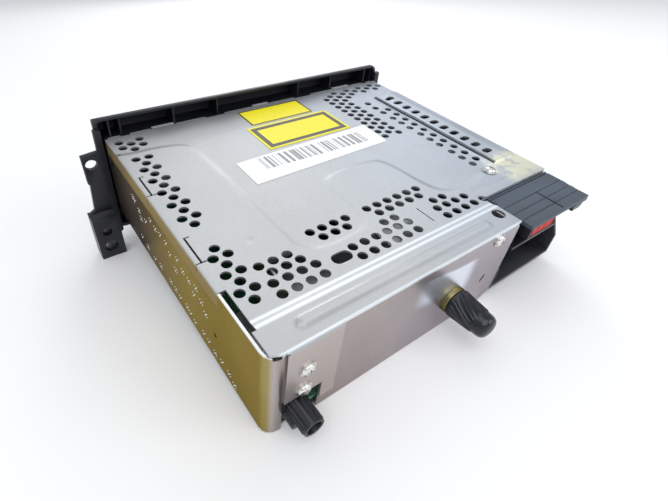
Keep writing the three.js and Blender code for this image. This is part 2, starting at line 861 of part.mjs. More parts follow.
const feltThickness = 1.3;
const feltDepth = 1.8;
const feltSpan = [fasciaFront + clearance, fasciaFront + clearance + feltDepth];
const feltEnd = tunnel.halfWidth - feltThickness / 2;
const feltRing = cut(
  tunnelPrism(0, feltSpan),
  block(
    [-feltEnd, feltEnd],
    [fasciaFront - overrun, fasciaInside],
    around(discHeight, tunnel.height - 2 * feltThickness),
  ),
);
add('slot_felt', feltRing, 'felt');

const flapThickness = 1;
const flapBack = tunnelBack + clearance + flapThickness;
const flapPlate = block(
  [-tunnel.halfWidth, tunnel.halfWidth],
  [tunnelBack + clearance, flapBack],
  [discHeight - tunnel.height / 2 - clearance, flapHinge.z],
);
const flapAxle = rod(
  [flapHinge.y, flapHinge.z],
  flapPin.radius,
  [-earInside - flapPin.length, earInside + flapPin.length],
  'x',
  cutSides,
);
add('dust_flap', join(flapPlate, flapAxle), 'darkPlastic');

// Keys, knob and window

for (const key of keys) {
  const cap = prism(keyOutline(key, 0), [fasciaInside + clearance, fasciaFront - keyProud], 'y');
  const flange = prism(
    keyOutline(key, keyFlange),
    [fasciaInside + clearance, fasciaInside + clearance + keyFlange],
    'y',
  );
  add(key.name, join(cap, flange), 'keyPlastic');
}

const knobBack = fasciaFront - clearance;
const knobProfile = [
  [0, 0], [knob.radius - knob.edge, 0], [knob.radius, knob.edge], [knob.radius, knob.length],
  [knob.stem, knob.length],
  [knob.stem, knob.length + knob.stemLength], [0, knob.length + knob.stemLength],
];
add('volume_knob', turned(knobProfile, [-knob.across, knob.up], knobBack - knob.length), 'keyPlastic');

const windowPane = block(
  [-display.halfWidth, display.halfWidth],
  [fasciaInside + clearance + keyFlange, fasciaFront + clearance],
  [display.low, display.high],
);
const windowFlange = block(
  [-display.halfWidth - keyFlange, display.halfWidth + keyFlange],
  [fasciaInside + clearance, fasciaInside + clearance + keyFlange],
  [display.low - keyFlange, display.high + keyFlange],
);
add('display_window', join(windowPane, windowFlange), 'windowPlastic');

// Fascia board with its key switches, display and volume sensor

const fasciaBoard = { halfWidth: 86, low: -0.8, high: 41, openHalf: 67, openLow: 27.8, openHigh: 41.5 };
const fasciaBoardBack = fasciaBoardFront + boardThickness;
const boardSheet = cut(
  block(
    [-fasciaBoard.halfWidth, fasciaBoard.halfWidth],
    [fasciaBoardFront, fasciaBoardBack],
    [fasciaBoard.low, fasciaBoard.high],
  ),
  block(
    [-fasciaBoard.openHalf, fasciaBoard.openHalf],
    [fasciaBoardFront - overrun, fasciaBoardBack + overrun],
    [fasciaBoard.openLow, fasciaBoard.openHigh],
  ),
);
const switches = keys.map((key) =>
  block(
    around(key.x, switchSize.width),
    [fasciaBoardFront - switchSize.height, fasciaBoardBack - boardThickness / 2],
    around(key.z, switchSize.width),
  ),
);
const displayPanel = block(
  [-display.halfWidth, display.halfWidth],
  [fasciaInside + keyFlange + 2 * clearance, fasciaBoardBack - boardThickness / 2],
  [display.low, display.high],
);
const encoder = cut(
  rod(
    [-knob.across, knob.up],
    2 * knob.stem,
    [fasciaBoardFront - 2 * switchSize.height, fasciaBoardBack - boardThickness / 2],
    'y',
  ),
  rod([-knob.across, knob.up], knob.stem + clearance, [fasciaBoardFront - overrun, fasciaBoardFront], 'y'),
);
add('fascia_board', join(boardSheet, switches, displayPanel, encoder), 'board');

// Fixing brackets beside the fascia, one the mirror of the other

const bracket = { thickness: 2.7, reach: 17, foot: 67.5, blockReach: 9.2, blockTop: 41, blockInner: 4 };
const bracketShares = [
  [0.07, -0.063], [0.259, -0.067], [0.276, 0.096], [0.753, 0.11], [0.747, 0.338], [0.7, 0.347],
  [0.776, 0.585], [1, 0.622], [1, 1], [0.235, 1], [0.235, 0.867], [0.088, 0.837], [0.088, 0.681],
];
const bracketHoles = [
  { across: 8.9, depth: 12.5, radius: 2.9 },
  { across: 11, depth: 50, radius: 2.5 },
  { across: 10.8, depth: 60, radius: 3.5 },
];
const bracketFront = fasciaBack + clearance;
const bracketBack = bracketFront + bracket.thickness;
const blockBack = bracketFront + bracket.blockReach;

function bracketSolid(side) {
  const place = ([across, depth]) => [side * fromLeft(-across), belowTop(depth)];
  const outline = bracketShares.map(([across, depth]) =>
    place([across * bracket.reach, depth * bracket.foot]),
  );
  const plate = prism(outline, [bracketFront, bracketBack], 'y');
  const [outerX, topZ] = place([bracket.reach, bracket.blockTop]);
  const [innerX, footZ] = place([bracket.blockInner, bracket.foot]);
  const foot = block([innerX, outerX], [bracketFront, blockBack], [footZ, topZ]);
  const ends = [bracketFront - overrun, blockBack + overrun];
  const holes = bracketHoles.map(({ across, depth, radius }) =>
    rod(place([across, depth]), radius, ends, 'y'),
  );
  return cut(join(plate, foot), holes);
}

add('bracket_left', bracketSolid(1), 'blackPlastic');
add('bracket_right', bracketSolid(-1), 'blackPlastic');

// Harness connector in the rear notch

const harness = {
  wall: 1.8,
  foot: 42,
  top: 3.9,
  shelf: 15.3,
  shelfThickness: 1.5,
  slopeTop: 19.5,
  slopeFoot: 30,
  slope: 5,
  lip: 0.85,
};
const harnessEdge = -1;
const insert = { from: 36, to: 18, base: 3, height: 5.5, setBack: 0.4, depth: 12.4 };
const hood = { rearReach: 4, top: 1.75, thickness: 2, groove: 0.5, besideCase: 3.8 };
const hoodGrooveShares = [0.55, 0.3, 0.065];
const hoodSlot = { across: 21, width: 0.9 };
const partition = { across: 15, thickness: 1.5 };
const shelfEnd = 5;
const harnessSpan = [fromRight(notchWidth - clearance), fromRight(harnessEdge)];
const harnessFront = fromRear(notchDepth - clearance);

const insertPlan = [
  [fromRight(insert.from), fromRight(insert.to)],
  [
    fromRear(insert.setBack - harness.lip),
    fromRear(insert.setBack - harness.lip + insert.depth),
  ],
];

function connectorHousing() {
  const outline = [
    [harnessFront, belowTop(harness.top)],
    [fromRear(harness.slope), belowTop(harness.top)],
    [fromRear(harness.slope), belowTop(harness.slopeTop)],
    [fromRear(0), belowTop(harness.slopeFoot)],
    [fromRear(0), belowTop(harness.foot)],
    [harnessFront, belowTop(harness.foot)],
  ];
  const body = prism(outline, harnessSpan, 'x');
  const inner = [harnessSpan[0] - harness.wall, harnessSpan[1] + harness.wall];
  const middleX = fromRight(notchWidth - partition.across);
  const depth = [harnessFront - overrun, fromRear(-overrun)];
  const shelfZ = belowTop(harness.shelf);
  const backWall = harnessFront + harness.wall;
  const lower = block(
    inner,
    [backWall, depth[1]],
    [belowTop(harness.foot - harness.wall), shelfZ - harness.shelfThickness],
  );
  const sides = [[inner[1], middleX], [middleX + partition.thickness, inner[0]]];
  const upper = sides.map((span) =>
    block(span, [backWall, depth[1]], [shelfZ, belowTop(harness.top + harness.wall)]),
  );
  const plinth = block(...insertPlan, [shelfZ - harness.shelfThickness, shelfZ + insert.base]);
  const reach = [backWall, fromRear(-harness.lip)];
  const shelf = block(
    [inner[0], fromRight(insert.to - shelfEnd)],
    reach,
    [shelfZ - harness.shelfThickness, shelfZ],
  );
  const divider = block(
    [middleX, middleX + partition.thickness],
    reach,
    [shelfZ - harness.shelfThickness, belowTop(harness.top + harness.wall)],
  );
  return join(cut(body, lower, upper), plinth, shelf, divider);
}

add('connector_housing', connectorHousing(), 'darkPlastic');

function connectorHood() {
  const height = [belowTop(hood.top + hood.thickness), belowTop(hood.top)];
  const across = [harnessSpan[0] - hood.besideCase, harnessSpan[1]];
  const plate = block(across, [harnessFront, fromRear(-hood.rearReach)], height);
  const grooveHeight = [height[1] - hood.groove, height[1] + overrun];
  const groovePlaces = hoodGrooveShares.map((share) => fromRear(share * notchDepth));
  const grooves = groovePlaces.map((y) =>
    block([harnessSpan[0] - overrun, harnessSpan[1] + overrun], around(y, hood.groove), grooveHeight),
  );
  const slot = block(
    around(fromRight(hoodSlot.across), hoodSlot.width),
    [fromRear(-hood.rearReach * (2 / 3)), groovePlaces[0]],
    grooveHeight,
  );
  return cut(plate, grooves, slot);
}

add('connector_hood', connectorHood(), 'slatePlastic');

const insertBody = block(
  ...insertPlan,
  [belowTop(harness.shelf - insert.base), belowTop(harness.shelf - insert.base - insert.height)],
);
add('coding_insert', insertBody, 'redPlastic');

const pins = { columns: 8, rows: 2, pitch: 5, width: 1, length: 9, firstDepth: 24, rowPitch: 8 };
const pinPlaces = Array.from({ length: pins.columns * pins.rows }, (_, i) => [
  fromRight(notchWidth / 2) + pins.pitch * ((i % pins.columns) - (pins.columns - 1) / 2),
  belowTop(pins.firstDepth + pins.rowPitch * Math.floor(i / pins.columns)),
]);
const pinRoot = harnessFront + harness.wall;
const pinSolids = pinPlaces.map(([x, z]) =>
  block(around(x, pins.width), [pinRoot, pinRoot + pins.length], around(z, pins.width)),
);
const pinCarrier = block(
  around(fromRight(notchWidth / 2), pins.pitch * pins.columns),
  [pinRoot, pinRoot + pins.width],
  around(belowTop(pins.firstDepth + pins.rowPitch / 2), pins.rowPitch * pins.rows),
);
add('connector_pins', join(pinCarrier, pinSolids), 'gold');

// Rear support stud with its nut and rubber boot

const nut = { radius: 6.4, height: 2.4 };
const boot = { base: 6.5, tip: 5.2, length: 18, start: 2.9, dome: 3.5, sides: 16 };
const studEnds = { inside: 5, outside: 14 };
const studAxis = [fromLeft(studPlace.across), belowTop(studPlace.depth)];
const studHead = rod(studAxis, 2 * studRadius, [fromRear(studEnds.inside), fromRear(sheet)], 'y');
const studShank = rod(
  studAxis,
  studRadius,
  [fromRear(sheet + studEnds.inside / 2), fromRear(-studEnds.outside)],
  'y',
);
add('support_stud', join(studHead, studShank), 'plainSteel');
add(
  'stud_nut',
  ring(studAxis, nut.radius, studRadius + clearance, [fromRear(0), fromRear(-nut.height)], 'y'),
  'gold',
);

const bootBore = studRadius + clearance;
const bootDepth = studEnds.outside - boot.start + clearance;
const bootProfile = [
  [bootBore, 0], [boot.base, 0], [boot.base, boot.dome], [boot.tip, boot.length - boot.dome],
  [boot.tip * 0.8, boot.length - boot.dome / 3], [boot.tip * 0.4, boot.length], [0, boot.length],
  [0, bootDepth], [bootBore, bootDepth], [bootBore, 0],
];
add('rubber_boot', turned(bootProfile, studAxis, fromRear(-boot.start), boot.sides), 'rubber');

// Aerial connector in its notch

const aerial = {
  across: 12,
  depth: 33,
  radius: 4.1,
  bore: 3.1,
  reach: 11,
  bossAcross: 8.8,
  bossDepth: 36.6,
  bossRadius: 2.1,
};
const aerialBlock = { right: 17, inside: 9, top: 29 };
const aerialAxis = [fromLeft(aerial.across), belowTop(aerial.depth)];
const aerialBody = block(
  [fromLeft(mastNotch.left + clearance), fromLeft(aerialBlock.right)],
  [fromRear(aerialBlock.inside), fromRear(0)],
  [boardTop, belowTop(aerialBlock.top)],
);
const aerialTube = rod(
  aerialAxis,
  aerial.radius,
  [fromRear(aerialBlock.inside / 2), fromRear(-aerial.reach)],
  'y',
  roundSides,
);
const aerialBoss = rod(
  [fromLeft(aerial.bossAcross), belowTop(aerial.bossDepth)],
  aerial.bossRadius,
  [fromRear(aerialBlock.inside / 2), fromRear(-aerial.reach / 2)],
  'y',
);
const aerialBore = rod(
  aerialAxis,
  aerial.bore,
  [fromRear(aerialBlock.inside / 2), fromRear(-aerial.reach - overrun)],
  'y',
  roundSides,
);
add('aerial_plug', cut(join(aerialBody, aerialTube, aerialBoss), aerialBore), 'blackPlastic');

const contactRadius = 0.9;
const contactSpan = [fromRear(aerialBlock.inside / 2), fromRear(-aerial.reach / 3)];
add('aerial_contact', rod(aerialAxis, contactRadius, contactSpan, 'y', cutSides), 'gold');

// Screws

const screwHead = { radius: 3.1, height: 1.6, grip: 3 };

function panScrew(place, seat, direction, axis) {
  const head = rod(place, screwHead.radius, [seat, seat + direction * screwHead.height], axis);
  const shank = rod(
    place,
    screwShank,
    [seat - direction * screwHead.grip, seat + direction * screwHead.height * (1 / 2)],
    axis,
    cutSides,
  );
  return join(head, shank);
}

bodyScrews.forEach(({ across, depth }, i) => {
  const seat = across < flapEdges.right ? fromRear(-foldThickness) : fromRear(0);
  add(`rear_screw_${i + 1}`, panScrew([fromLeft(across), belowTop(depth)], seat, 1, 'y'), 'plainSteel');
});

const coverScrew = panScrew(
  [fromLeft(coverScrewPlace.across), fromRear(coverScrewPlace.back)],
  belowTop(0),
  1,
  'z',
);
add('cover_screw', coverScrew, 'plainSteel');

// Labels on the lowered panel, as corners in shares of the case

const labelThickness = 0.25;
const labelShares = {
  label_small_yellow: [[0.399, 0.865], [0.624, 0.865], [0.624, 0.98], [0.399, 0.98]],
  label_large_yellow: [[0.371, 0.69], [0.663, 0.69], [0.663, 0.851], [0.371, 0.851]],
  label_white: [[0.25, 0.534], [0.705, 0.547], [0.712, 0.682], [0.25, 0.666]],
};
for (const [name, corners] of Object.entries(labelShares)) {
  const seat = belowTop(panelDrop);
  add(
    name,
    prism(corners.map(casePlace), [seat, seat + labelThickness]),
    name === 'label_white' ? 'whitePaper' : 'yellowPaper',
  );
}

// Main board with its small parts soldered on

const boardMargin = 3;
const boardFrontMargin = 3.5;
const mainBoardFront = fromFront(boardFrontMargin);
const boardOutline = [
  [fromLeft(boardMargin + joggle + sheet), mainBoardFront],
  [fromLeft(boardMargin + joggle + sheet), fromRear(cornerRadius)],
  [fromLeft(2 * cornerRadius), fromRear(sheet + clearance)],
  [fromRight(notchWidth + boardMargin), fromRear(sheet + clearance)],
  [fromRight(notchWidth + boardMargin), fromRear(notchDepth + boardMargin)],
  [fromRight(boardMargin + joggle + sheet), fromRear(notchDepth + boardMargin)],
  [fromRight(boardMargin + joggle + sheet), mainBoardFront],
];
const chips = [
  { placeShares: [0.388, 0.326], width: 18, length: 18, height: 2 },
  { placeShares: [0.657, 0.42], width: 14, length: 20, height: 2.4 },
  { placeShares: [0.792, 0.647], width: 20, length: 9, height: 4 },
  { placeShares: [0.466, 0.781], width: 12, length: 12, height: 1.6 },
];
const capacitorShares = [
  [0.601, 0.125], [0.534, 0.112], [0.478, 0.152], [0.669, 0.232], [0.096, 0.701], [0.096, 0.594],
];
const capacitor = { radius: 4, height: 8.5 };

function mainBoard() {
  const plate = prism(boardOutline, [boardBottom, boardTop]);
  const bores = pillarPlaces.map((place) =>
    rod(place, boardPillar.bore, [-overrun, boardTop + overrun], 'z'),
  );
  const seat = boardBottom + boardThickness / 2;
  const boxes = chips.map(({ placeShares, width, length, height }) => {
    const [x, y] = casePlace(placeShares);
    return block(around(x, width), around(y, length), [seat, boardTop + height]);
  });
  const cans = capacitorShares.map((share) =>
    rod(casePlace(share), capacitor.radius, [seat, boardTop + capacitor.height], 'z'),
  );
  return join(cut(plate, bores), boxes, cans);
}

add('main_board', mainBoard(), 'board');

const tuner = { x: 62, y: 44, width: 34, length: 26, height: 8.5 };
const tunerBox = block(
  around(tuner.x, tuner.width),
  around(tuner.y, tuner.length),
  [boardTop, boardTop + tuner.height],
);
add('tuner_module', tunerBox, 'plainSteel');

const amplifier = { x: -72, y: 22, width: 4, length: 30, height: 18 };
const ampFace = amplifier.x - amplifier.width / 2;
const ampBox = block(
  around(amplifier.x, amplifier.width),
  around(amplifier.y, amplifier.length),
  [boardTop, boardTop + amplifier.height],
);
add('amplifier_chip', ampBox, 'darkPlastic');

const sink = { base: 2, fins: 6, reach: 11, length: 36, height: 30, finThickness: 1.5 };
const sinkBase = block(
  [ampFace, ampFace - sink.base],
  around(amplifier.y, sink.length),
  [boardTop, boardTop + sink.height],
);
const finPitch = (sink.length - sink.finThickness) / (sink.fins - 1);
const fins = Array.from({ length: sink.fins }, (_, i) => {
  const place = amplifier.y - (sink.length - sink.finThickness) / 2 + finPitch * i;
  return block(
    [ampFace - sink.base / 2, ampFace - sink.reach],
    around(place, sink.finThickness),
    [boardTop, boardTop + sink.height],
  );
});
add('heat_sink', join(sinkBase, fins), 'aluminium');

const plugWidth = 40;
const plugHeight = 4.5;
const plugBody = block(
  around(0, plugWidth),
  [fasciaBoardBack, mainBoardFront + plugHeight],
  [boardTop, boardTop + plugHeight],
);
add('front_connector', plugBody, 'whitePlastic');

// Disc deck: a tray-shaped frame with ears for the clamp arm and posts for the pickup's rod

const deckSheet = 1;
const besideDeck = 23;
const deck = { front: -64, rear: 50, tailHalf: 30, tailEnd: 69.2, rimTop: 41 };
deck.halfWidth = caseWidth / 2 - besideDeck;
const deckFloor = deckBase + deckSheet;
const flangeInside = deck.halfWidth - deckSheet;
const spindleBack = 5;
const spindle = [0, spindleBack];
const discGap = 0.6;
const rollerAxis = { y: -60, radius: 4, shaft: 1.5 };
const rollerZ = discHeight - discGap - rollerAxis.radius;
const rollerTeeth = 20;
const pinionTeeth = 10;
const motorTilt = -0.35;
const driveDistance = pitchRadius(rollerTeeth) + pitchRadius(pinionTeeth);
const loadMotorAxis = [
  rollerAxis.y + driveDistance * Math.cos(motorTilt),
  rollerZ + driveDistance * Math.sin(motorTilt),
];
const loadMotor = { radius: 5.8, length: 20, shaft: 1 };
const driveGearWidth = 3;
const driveGap = 1;

const armHinge = { y: 67, z: 38.5 };
const armSheet = 1;
const armPin = 1.3;
const armEar = { inside: 22, thickness: 1.5, from: 64.5, to: 69.2, top: 41 };
const cam = {
  thickness: 1.4,
  low: 30,
  top: 37.7,
  rear: 32,
  front: -20,
  rampStart: 18,
  rampRun: 10,
  rampDrop: 1.9,
};
const finger = { place: 20, width: 4 };
const ledge = { reach: 3, thickness: 1, front: -34, rear: 36 };

const guideRod = { radius: 1.5, offset: 16, height: 25, start: 15 };
const post = { thickness: 2, width: 5 };
const feedTeeth = 24;
const rackLine = -18;
const feedGearAcross = 23;
const feedGearAxis = [feedGearAcross, rackLine - pitchRadius(feedTeeth)];
const feedDistance = pitchRadius(feedTeeth) + pitchRadius(pinionTeeth);
const feedPinionAxis = [feedGearAcross + feedDistance, feedGearAxis[1]];
const feedGearLow = 21.5;
const feedGearHigh = 24.5;
const feedHub = { radius: 3, pin: 1.5 };
const feedMotor = { radius: 5.5, length: 8 };
const spindleMotor = { radius: 12, height: 8 };

function deckFrame() {
  const floor = join(
    block([-deck.halfWidth, deck.halfWidth], [deck.front, deck.rear], [deckBase, deckFloor]),
    block([-deck.tailHalf, deck.tailHalf], [deck.rear - deckSheet, deck.tailEnd], [deckBase, deckFloor]),
  );
  const rims = [1, -1].map((side) =>
    block([side * flangeInside, side * deck.halfWidth], [deck.front, deck.rear], [deckBase, deck.rimTop]),
  );
  const ears = [1, -1].map((side) =>
    block(
      [side * armEar.inside, side * (armEar.inside + armEar.thickness)],
      [armEar.from, armEar.to],
      [deckBase, armEar.top],
    ),
  );
  const rail = block(
    [-flangeInside - deckSheet / 2, -flangeInside + ledge.reach],
    [ledge.front, ledge.rear],
    [cam.low - clearance - ledge.thickness, cam.low - clearance],
  );
  const rodPost = block(
    [guideRod.start - post.thickness, guideRod.start],
    around(spindleBack + guideRod.offset, post.width),
    [deckBase, guideRod.height + post.width / 2],
  );
  const hub = rod(feedGearAxis, feedHub.radius, [deckBase, feedGearLow - clearance], 'z');
  const hubPin = rod(feedGearAxis, feedHub.pin, [deckBase, feedGearHigh], 'z', cutSides);
  const across = [-2 * deck.halfWidth, 2 * deck.halfWidth];
  const shaftHole = rod([rollerAxis.y, rollerZ], rollerAxis.shaft + clearance, across, 'x', cutSides);
  const motorHole = rod(loadMotorAxis, loadMotor.shaft + clearance, [0, across[1]], 'x', cutSides);
  const pinHoles = rod([armHinge.y, armHinge.z], armPin + clearance, across, 'x', cutSides);
  const feedHole = rod(feedPinionAxis, loadMotor.shaft + clearance, [0, discHeight], 'z', cutSides);
  return cut(join(floor, rims, ears, rail, rodPost, hub, hubPin), shaftHole, motorHole, pinHoles, feedHole);
}

add('deck_frame', deckFrame(), 'plainSteel');

// Spindle: motor, turntable and the clamper above it

const motorTop = deckFloor + spindleMotor.height;
const spindleShaft = 1.5;
const turntable = { radius: 15, thickness: 2.4, hub: 7.3, hubRise: 1.8 };
const turntableTop = discHeight - discGap;
const motorBore = rod(
  spindle,
  spindleShaft + clearance,
  [motorTop - 2 * spindleShaft, motorTop + overrun],
  'z',
  cutSides,
);
add(
  'spindle_motor',
  cut(rod(spindle, spindleMotor.radius, [deckFloor, motorTop], 'z', roundSides), motorBore),
  'plainSteel',
);
const platter = rod(
  spindle,
  turntable.radius,
  [turntableTop - turntable.thickness, turntableTop],
  'z',
  roundSides,
);
const platterHub = rod(
  spindle,
  turntable.hub,
  [motorTop + clearance, turntableTop + turntable.hubRise],
  'z',
  roundSides,
);
const platterShaft = rod(spindle, spindleShaft, [motorTop - spindleShaft, turntableTop], 'z', cutSides);
add('turntable', join(platter, platterHub, platterShaft), 'blackPlastic');

const armBottom = armHinge.z - armSheet / 2;
const armTop = armHinge.z + armSheet / 2;
const arm = { halfWidth: 16, front: -12, crossHalf: 21.5, crossFrom: 62, hole: 9.6 };
const clampPiece = {
  rim: 13,
  neck: 9.1,
  cap: 11.5,
  rimThickness: 1.5,
  capThickness: 1,
  recess: 8,
  recessDepth: 3.2,
};
const armPlate = join(
  block([-arm.halfWidth, arm.halfWidth], [arm.front, arm.crossFrom + armSheet], [armBottom, armTop]),
  block([-arm.crossHalf, arm.crossHalf], [arm.crossFrom, armEar.to], [armBottom, armTop]),
  block([-flangeInside + sheet, arm.halfWidth], around(finger.place, finger.width), [armBottom, armTop]),
);
const armHole = rod(spindle, arm.hole, [armBottom - overrun, armTop + overrun], 'z', roundSides);
const armPinBar = rod(
  [armHinge.y, armHinge.z],
  armPin,
  [-armEar.inside - armEar.thickness, armEar.inside + armEar.thickness],
  'x',
  cutSides,
);
add('clamp_arm', join(cut(armPlate, armHole), armPinBar), 'plainSteel');

const clampRimTop = armBottom - clearance;
const clampCapLow = armTop + clearance;
const clampBottom = clampRimTop - clampPiece.rimThickness;
const clampBody = join(
  rod(spindle, clampPiece.rim, [clampBottom, clampRimTop], 'z', roundSides),
  rod(spindle, clampPiece.neck, [clampBottom, clampCapLow + clampPiece.capThickness / 2], 'z', roundSides),
  rod(spindle, clampPiece.cap, [clampCapLow, clampCapLow + clampPiece.capThickness], 'z', roundSides),
);
const clampRecess = rod(
  spindle,
  clampPiece.recess,
  [clampBottom - overrun, clampBottom + clampPiece.recessDepth],
  'z',
  roundSides,
);
add('clamper', cut(clampBody, clampRecess), 'blackPlastic');

// The cam lifts the arm's finger; its ramp passes under the finger as it slides back

const camX = [-flangeInside + clearance, -flangeInside + clearance + cam.thickness];
const camOutline = [
  [cam.front, cam.low],
  [cam.rear, cam.low],
  [cam.rear, cam.top - cam.rampDrop],
  [cam.rampStart + cam.rampRun, cam.top - cam.rampDrop],
  [cam.rampStart, cam.top],
  [cam.front, cam.top],
];
add('cam_slide', prism(camOutline, camX, 'x'), 'whitePlastic');

// Pickup sled on its rod, with the rack and the lens

const sled = {
  from: 17,
  to: 29,
  front: -14,
  rear: 26,
  low: 21.5,
  high: 28.3,
  rackLength: 45,
  rackWidth: 2,
};
const lens = { across: 25, radius: 3, height: 4.2, top: 30, pocket: 3.5, pocketFloor: 24.8 };
const lensPlace = [lens.across, spindleBack];
const rodAxis = [spindleBack + guideRod.offset, guideRod.height];
const rackPitch = Math.PI * gearModule;

function rackOutline() {
  const rootLine = rackLine + dedendum;
  const tipLine = rackLine - addendum;
  const rootHalf = rackPitch * 0.33 * toothThinning;
  const tipHalf = rackPitch * 0.15 * toothThinning;
  const count = Math.floor(sled.rackLength / rackPitch);
  const centre = feedGearAxis[0];
  const first = Math.ceil((sled.to - sled.rackLength - centre) / rackPitch);
  const teeth = Array.from({ length: count }, (_, i) => {
    const x = centre + rackPitch * (first + i + 1 / 2);
    const places = [[-rootHalf, rootLine], [-tipHalf, tipLine], [tipHalf, tipLine], [rootHalf, rootLine]];
    return places.map(([along, line]) => [x + along, line]);
  }).flat();
  const rackEnd = centre + rackPitch * (first + count + 1 / 4);
  const rackStart = centre + rackPitch * (first + 1 / 4) - rackPitch / 4;
  return [
    [rackStart, rootLine + sled.rackWidth],
    [rackStart, rootLine],
    ...teeth,
    [rackEnd, rootLine],
    [rackEnd, rootLine + sled.rackWidth],
  ];
}

function pickupSled() {
  const body = block([sled.from, sled.to], [sled.front, sled.rear], [sled.low, sled.high]);
  const rack = prism(rackOutline(), [feedGearLow, feedGearHigh]);
  const bridge = block(
    [sled.from, sled.to - rackPitch],
    [rackLine + dedendum, sled.front + sheet],
    [feedGearLow, feedGearHigh],
  );
  const bore = rod(rodAxis, guideRod.radius + clearance, [0, deck.halfWidth], 'x');
  const pocket = rod(lensPlace, lens.pocket, [lens.pocketFloor, sled.high + overrun], 'z');
  return cut(join(body, rack, bridge), bore, pocket);
}

add('pickup_sled', pickupSled(), 'blackPlastic');
add('pickup_lens', rod(lensPlace, lens.radius, [lens.top - lens.height, lens.top], 'z'), 'lens');
add('guide_rod', rod(rodAxis, guideRod.radius, [guideRod.start, flangeInside], 'x'), 'plainSteel');

// Feed drive

const rackward = Math.PI / 2;
const feedGearBody = cut(
  prism(gearOutline(feedGearAxis, feedTeeth, rackward), [feedGearLow, feedGearHigh]),
  rod(feedGearAxis, feedHub.pin + clearance, [0, discHeight], 'z', cutSides),
);
add('feed_gear', feedGearBody, 'whitePlastic');

const motorSeat = deckBase - feedMotor.length;
const feedPinionBody = join(
  prism(gearOutline(feedPinionAxis, pinionTeeth, meshPhase(0, pinionTeeth)), [feedGearLow, feedGearHigh]),
  rod(feedPinionAxis, loadMotor.shaft, [deckBase - 2 * loadMotor.shaft, feedGearHigh], 'z', cutSides),
);
add('feed_pinion', feedPinionBody, 'whitePlastic');
const feedMotorBore = rod(
  feedPinionAxis,
  loadMotor.shaft + clearance,
  [deckBase - 3 * loadMotor.shaft, deckBase + overrun],
  'z',
  cutSides,
);
add(
  'feed_motor',
  cut(rod(feedPinionAxis, feedMotor.radius, [motorSeat, deckBase], 'z'), feedMotorBore),
  'plainSteel',
);

// Loading drive: rubber roller, its shaft with a moulded gear, motor and pinion

const besideRoller = 7;
const rollerHalf = flangeInside - besideRoller;
const gearFrom = deck.halfWidth + driveGap;
const gearSpan = [gearFrom, gearFrom + driveGearWidth];
const shaftSolid = join(
  rod([rollerAxis.y, rollerZ], rollerAxis.shaft, [-deck.halfWidth, gearSpan[1]], 'x'),
  prism(gearOutline([rollerAxis.y, rollerZ], rollerTeeth, motorTilt), gearSpan, 'x'),
);
add('roller_shaft', shaftSolid, 'whitePlastic');
add(
  'loading_roller',
  ring(
    [rollerAxis.y, rollerZ],
    rollerAxis.radius,
    rollerAxis.shaft + clearance,
    [-rollerHalf, rollerHalf],
    'x',
  ),
  'rubber',
);

const pinionSolid = join(
  prism(gearOutline(loadMotorAxis, pinionTeeth, meshPhase(motorTilt, pinionTeeth)), gearSpan, 'x'),
  rod(loadMotorAxis, loadMotor.shaft, [flangeInside - 2 * loadMotor.shaft, gearSpan[1]], 'x', cutSides),
);
add('loading_pinion', pinionSolid, 'whitePlastic');
const loadMotorBore = rod(
  loadMotorAxis,
  loadMotor.shaft + clearance,
  [flangeInside - 3 * loadMotor.shaft, flangeInside + overrun],
  'x',
  cutSides,
);
const loadMotorBody = rod(
  loadMotorAxis,
  loadMotor.radius,
  [flangeInside - loadMotor.length, flangeInside],
  'x',
);
add('loading_motor', cut(loadMotorBody, loadMotorBore), 'plainSteel');

const guide = { width: 6, above: 1.6, thickness: 2 };
const guideBar = block(
  [-flangeInside, flangeInside],
  around(rollerAxis.y, guide.width),
  [discHeight + guide.above, discHeight + guide.above + guide.thickness],
);
add('disc_guide', guideBar, 'blackPlastic');

export default model;
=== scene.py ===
import json
import math

import bmesh
import bpy
import numpy
from mathutils import Matrix, Vector


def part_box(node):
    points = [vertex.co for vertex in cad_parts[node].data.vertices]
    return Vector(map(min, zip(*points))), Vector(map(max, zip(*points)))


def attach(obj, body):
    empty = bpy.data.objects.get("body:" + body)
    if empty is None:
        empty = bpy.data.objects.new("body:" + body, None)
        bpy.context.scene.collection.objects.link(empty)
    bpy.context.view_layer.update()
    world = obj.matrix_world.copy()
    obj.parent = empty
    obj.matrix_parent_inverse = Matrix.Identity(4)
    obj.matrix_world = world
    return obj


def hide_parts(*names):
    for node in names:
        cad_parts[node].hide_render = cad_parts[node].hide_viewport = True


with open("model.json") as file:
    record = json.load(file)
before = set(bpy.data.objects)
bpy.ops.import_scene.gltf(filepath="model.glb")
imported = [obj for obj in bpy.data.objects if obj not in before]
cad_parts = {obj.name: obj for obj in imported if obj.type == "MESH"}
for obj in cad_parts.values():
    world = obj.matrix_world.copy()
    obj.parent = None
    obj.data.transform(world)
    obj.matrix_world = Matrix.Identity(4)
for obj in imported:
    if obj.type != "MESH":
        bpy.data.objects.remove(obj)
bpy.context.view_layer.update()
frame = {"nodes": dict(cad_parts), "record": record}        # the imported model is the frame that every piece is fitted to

nodes = frame["nodes"]
mm = 0.001
tiny = 1e-5        # play when an edge is found by its place
weld = 1e-6        # points nearer than this become one
caseLow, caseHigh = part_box("chassis_body")
caseSize = caseHigh - caseLow
caseTop = caseHigh.z + 0.3 * mm


def fromLeft(distance):
    return caseHigh.x - distance * mm


def fromRight(distance):
    return caseLow.x + distance * mm


def fromRear(distance):
    return caseHigh.y - distance * mm


def fromFront(distance):
    return caseLow.y + distance * mm


def leftSpan(*distances):
    return tuple(fromLeft(distance) for distance in distances)


def rearSpan(*distances):
    return tuple(fromRear(distance) for distance in distances)


# Selecting and finishing

def deselectAll():
    bpy.ops.object.select_all(action="DESELECT")


def makeActive(piece):
    deselectAll()
    piece.select_set(True)
    bpy.context.view_layer.objects.active = piece


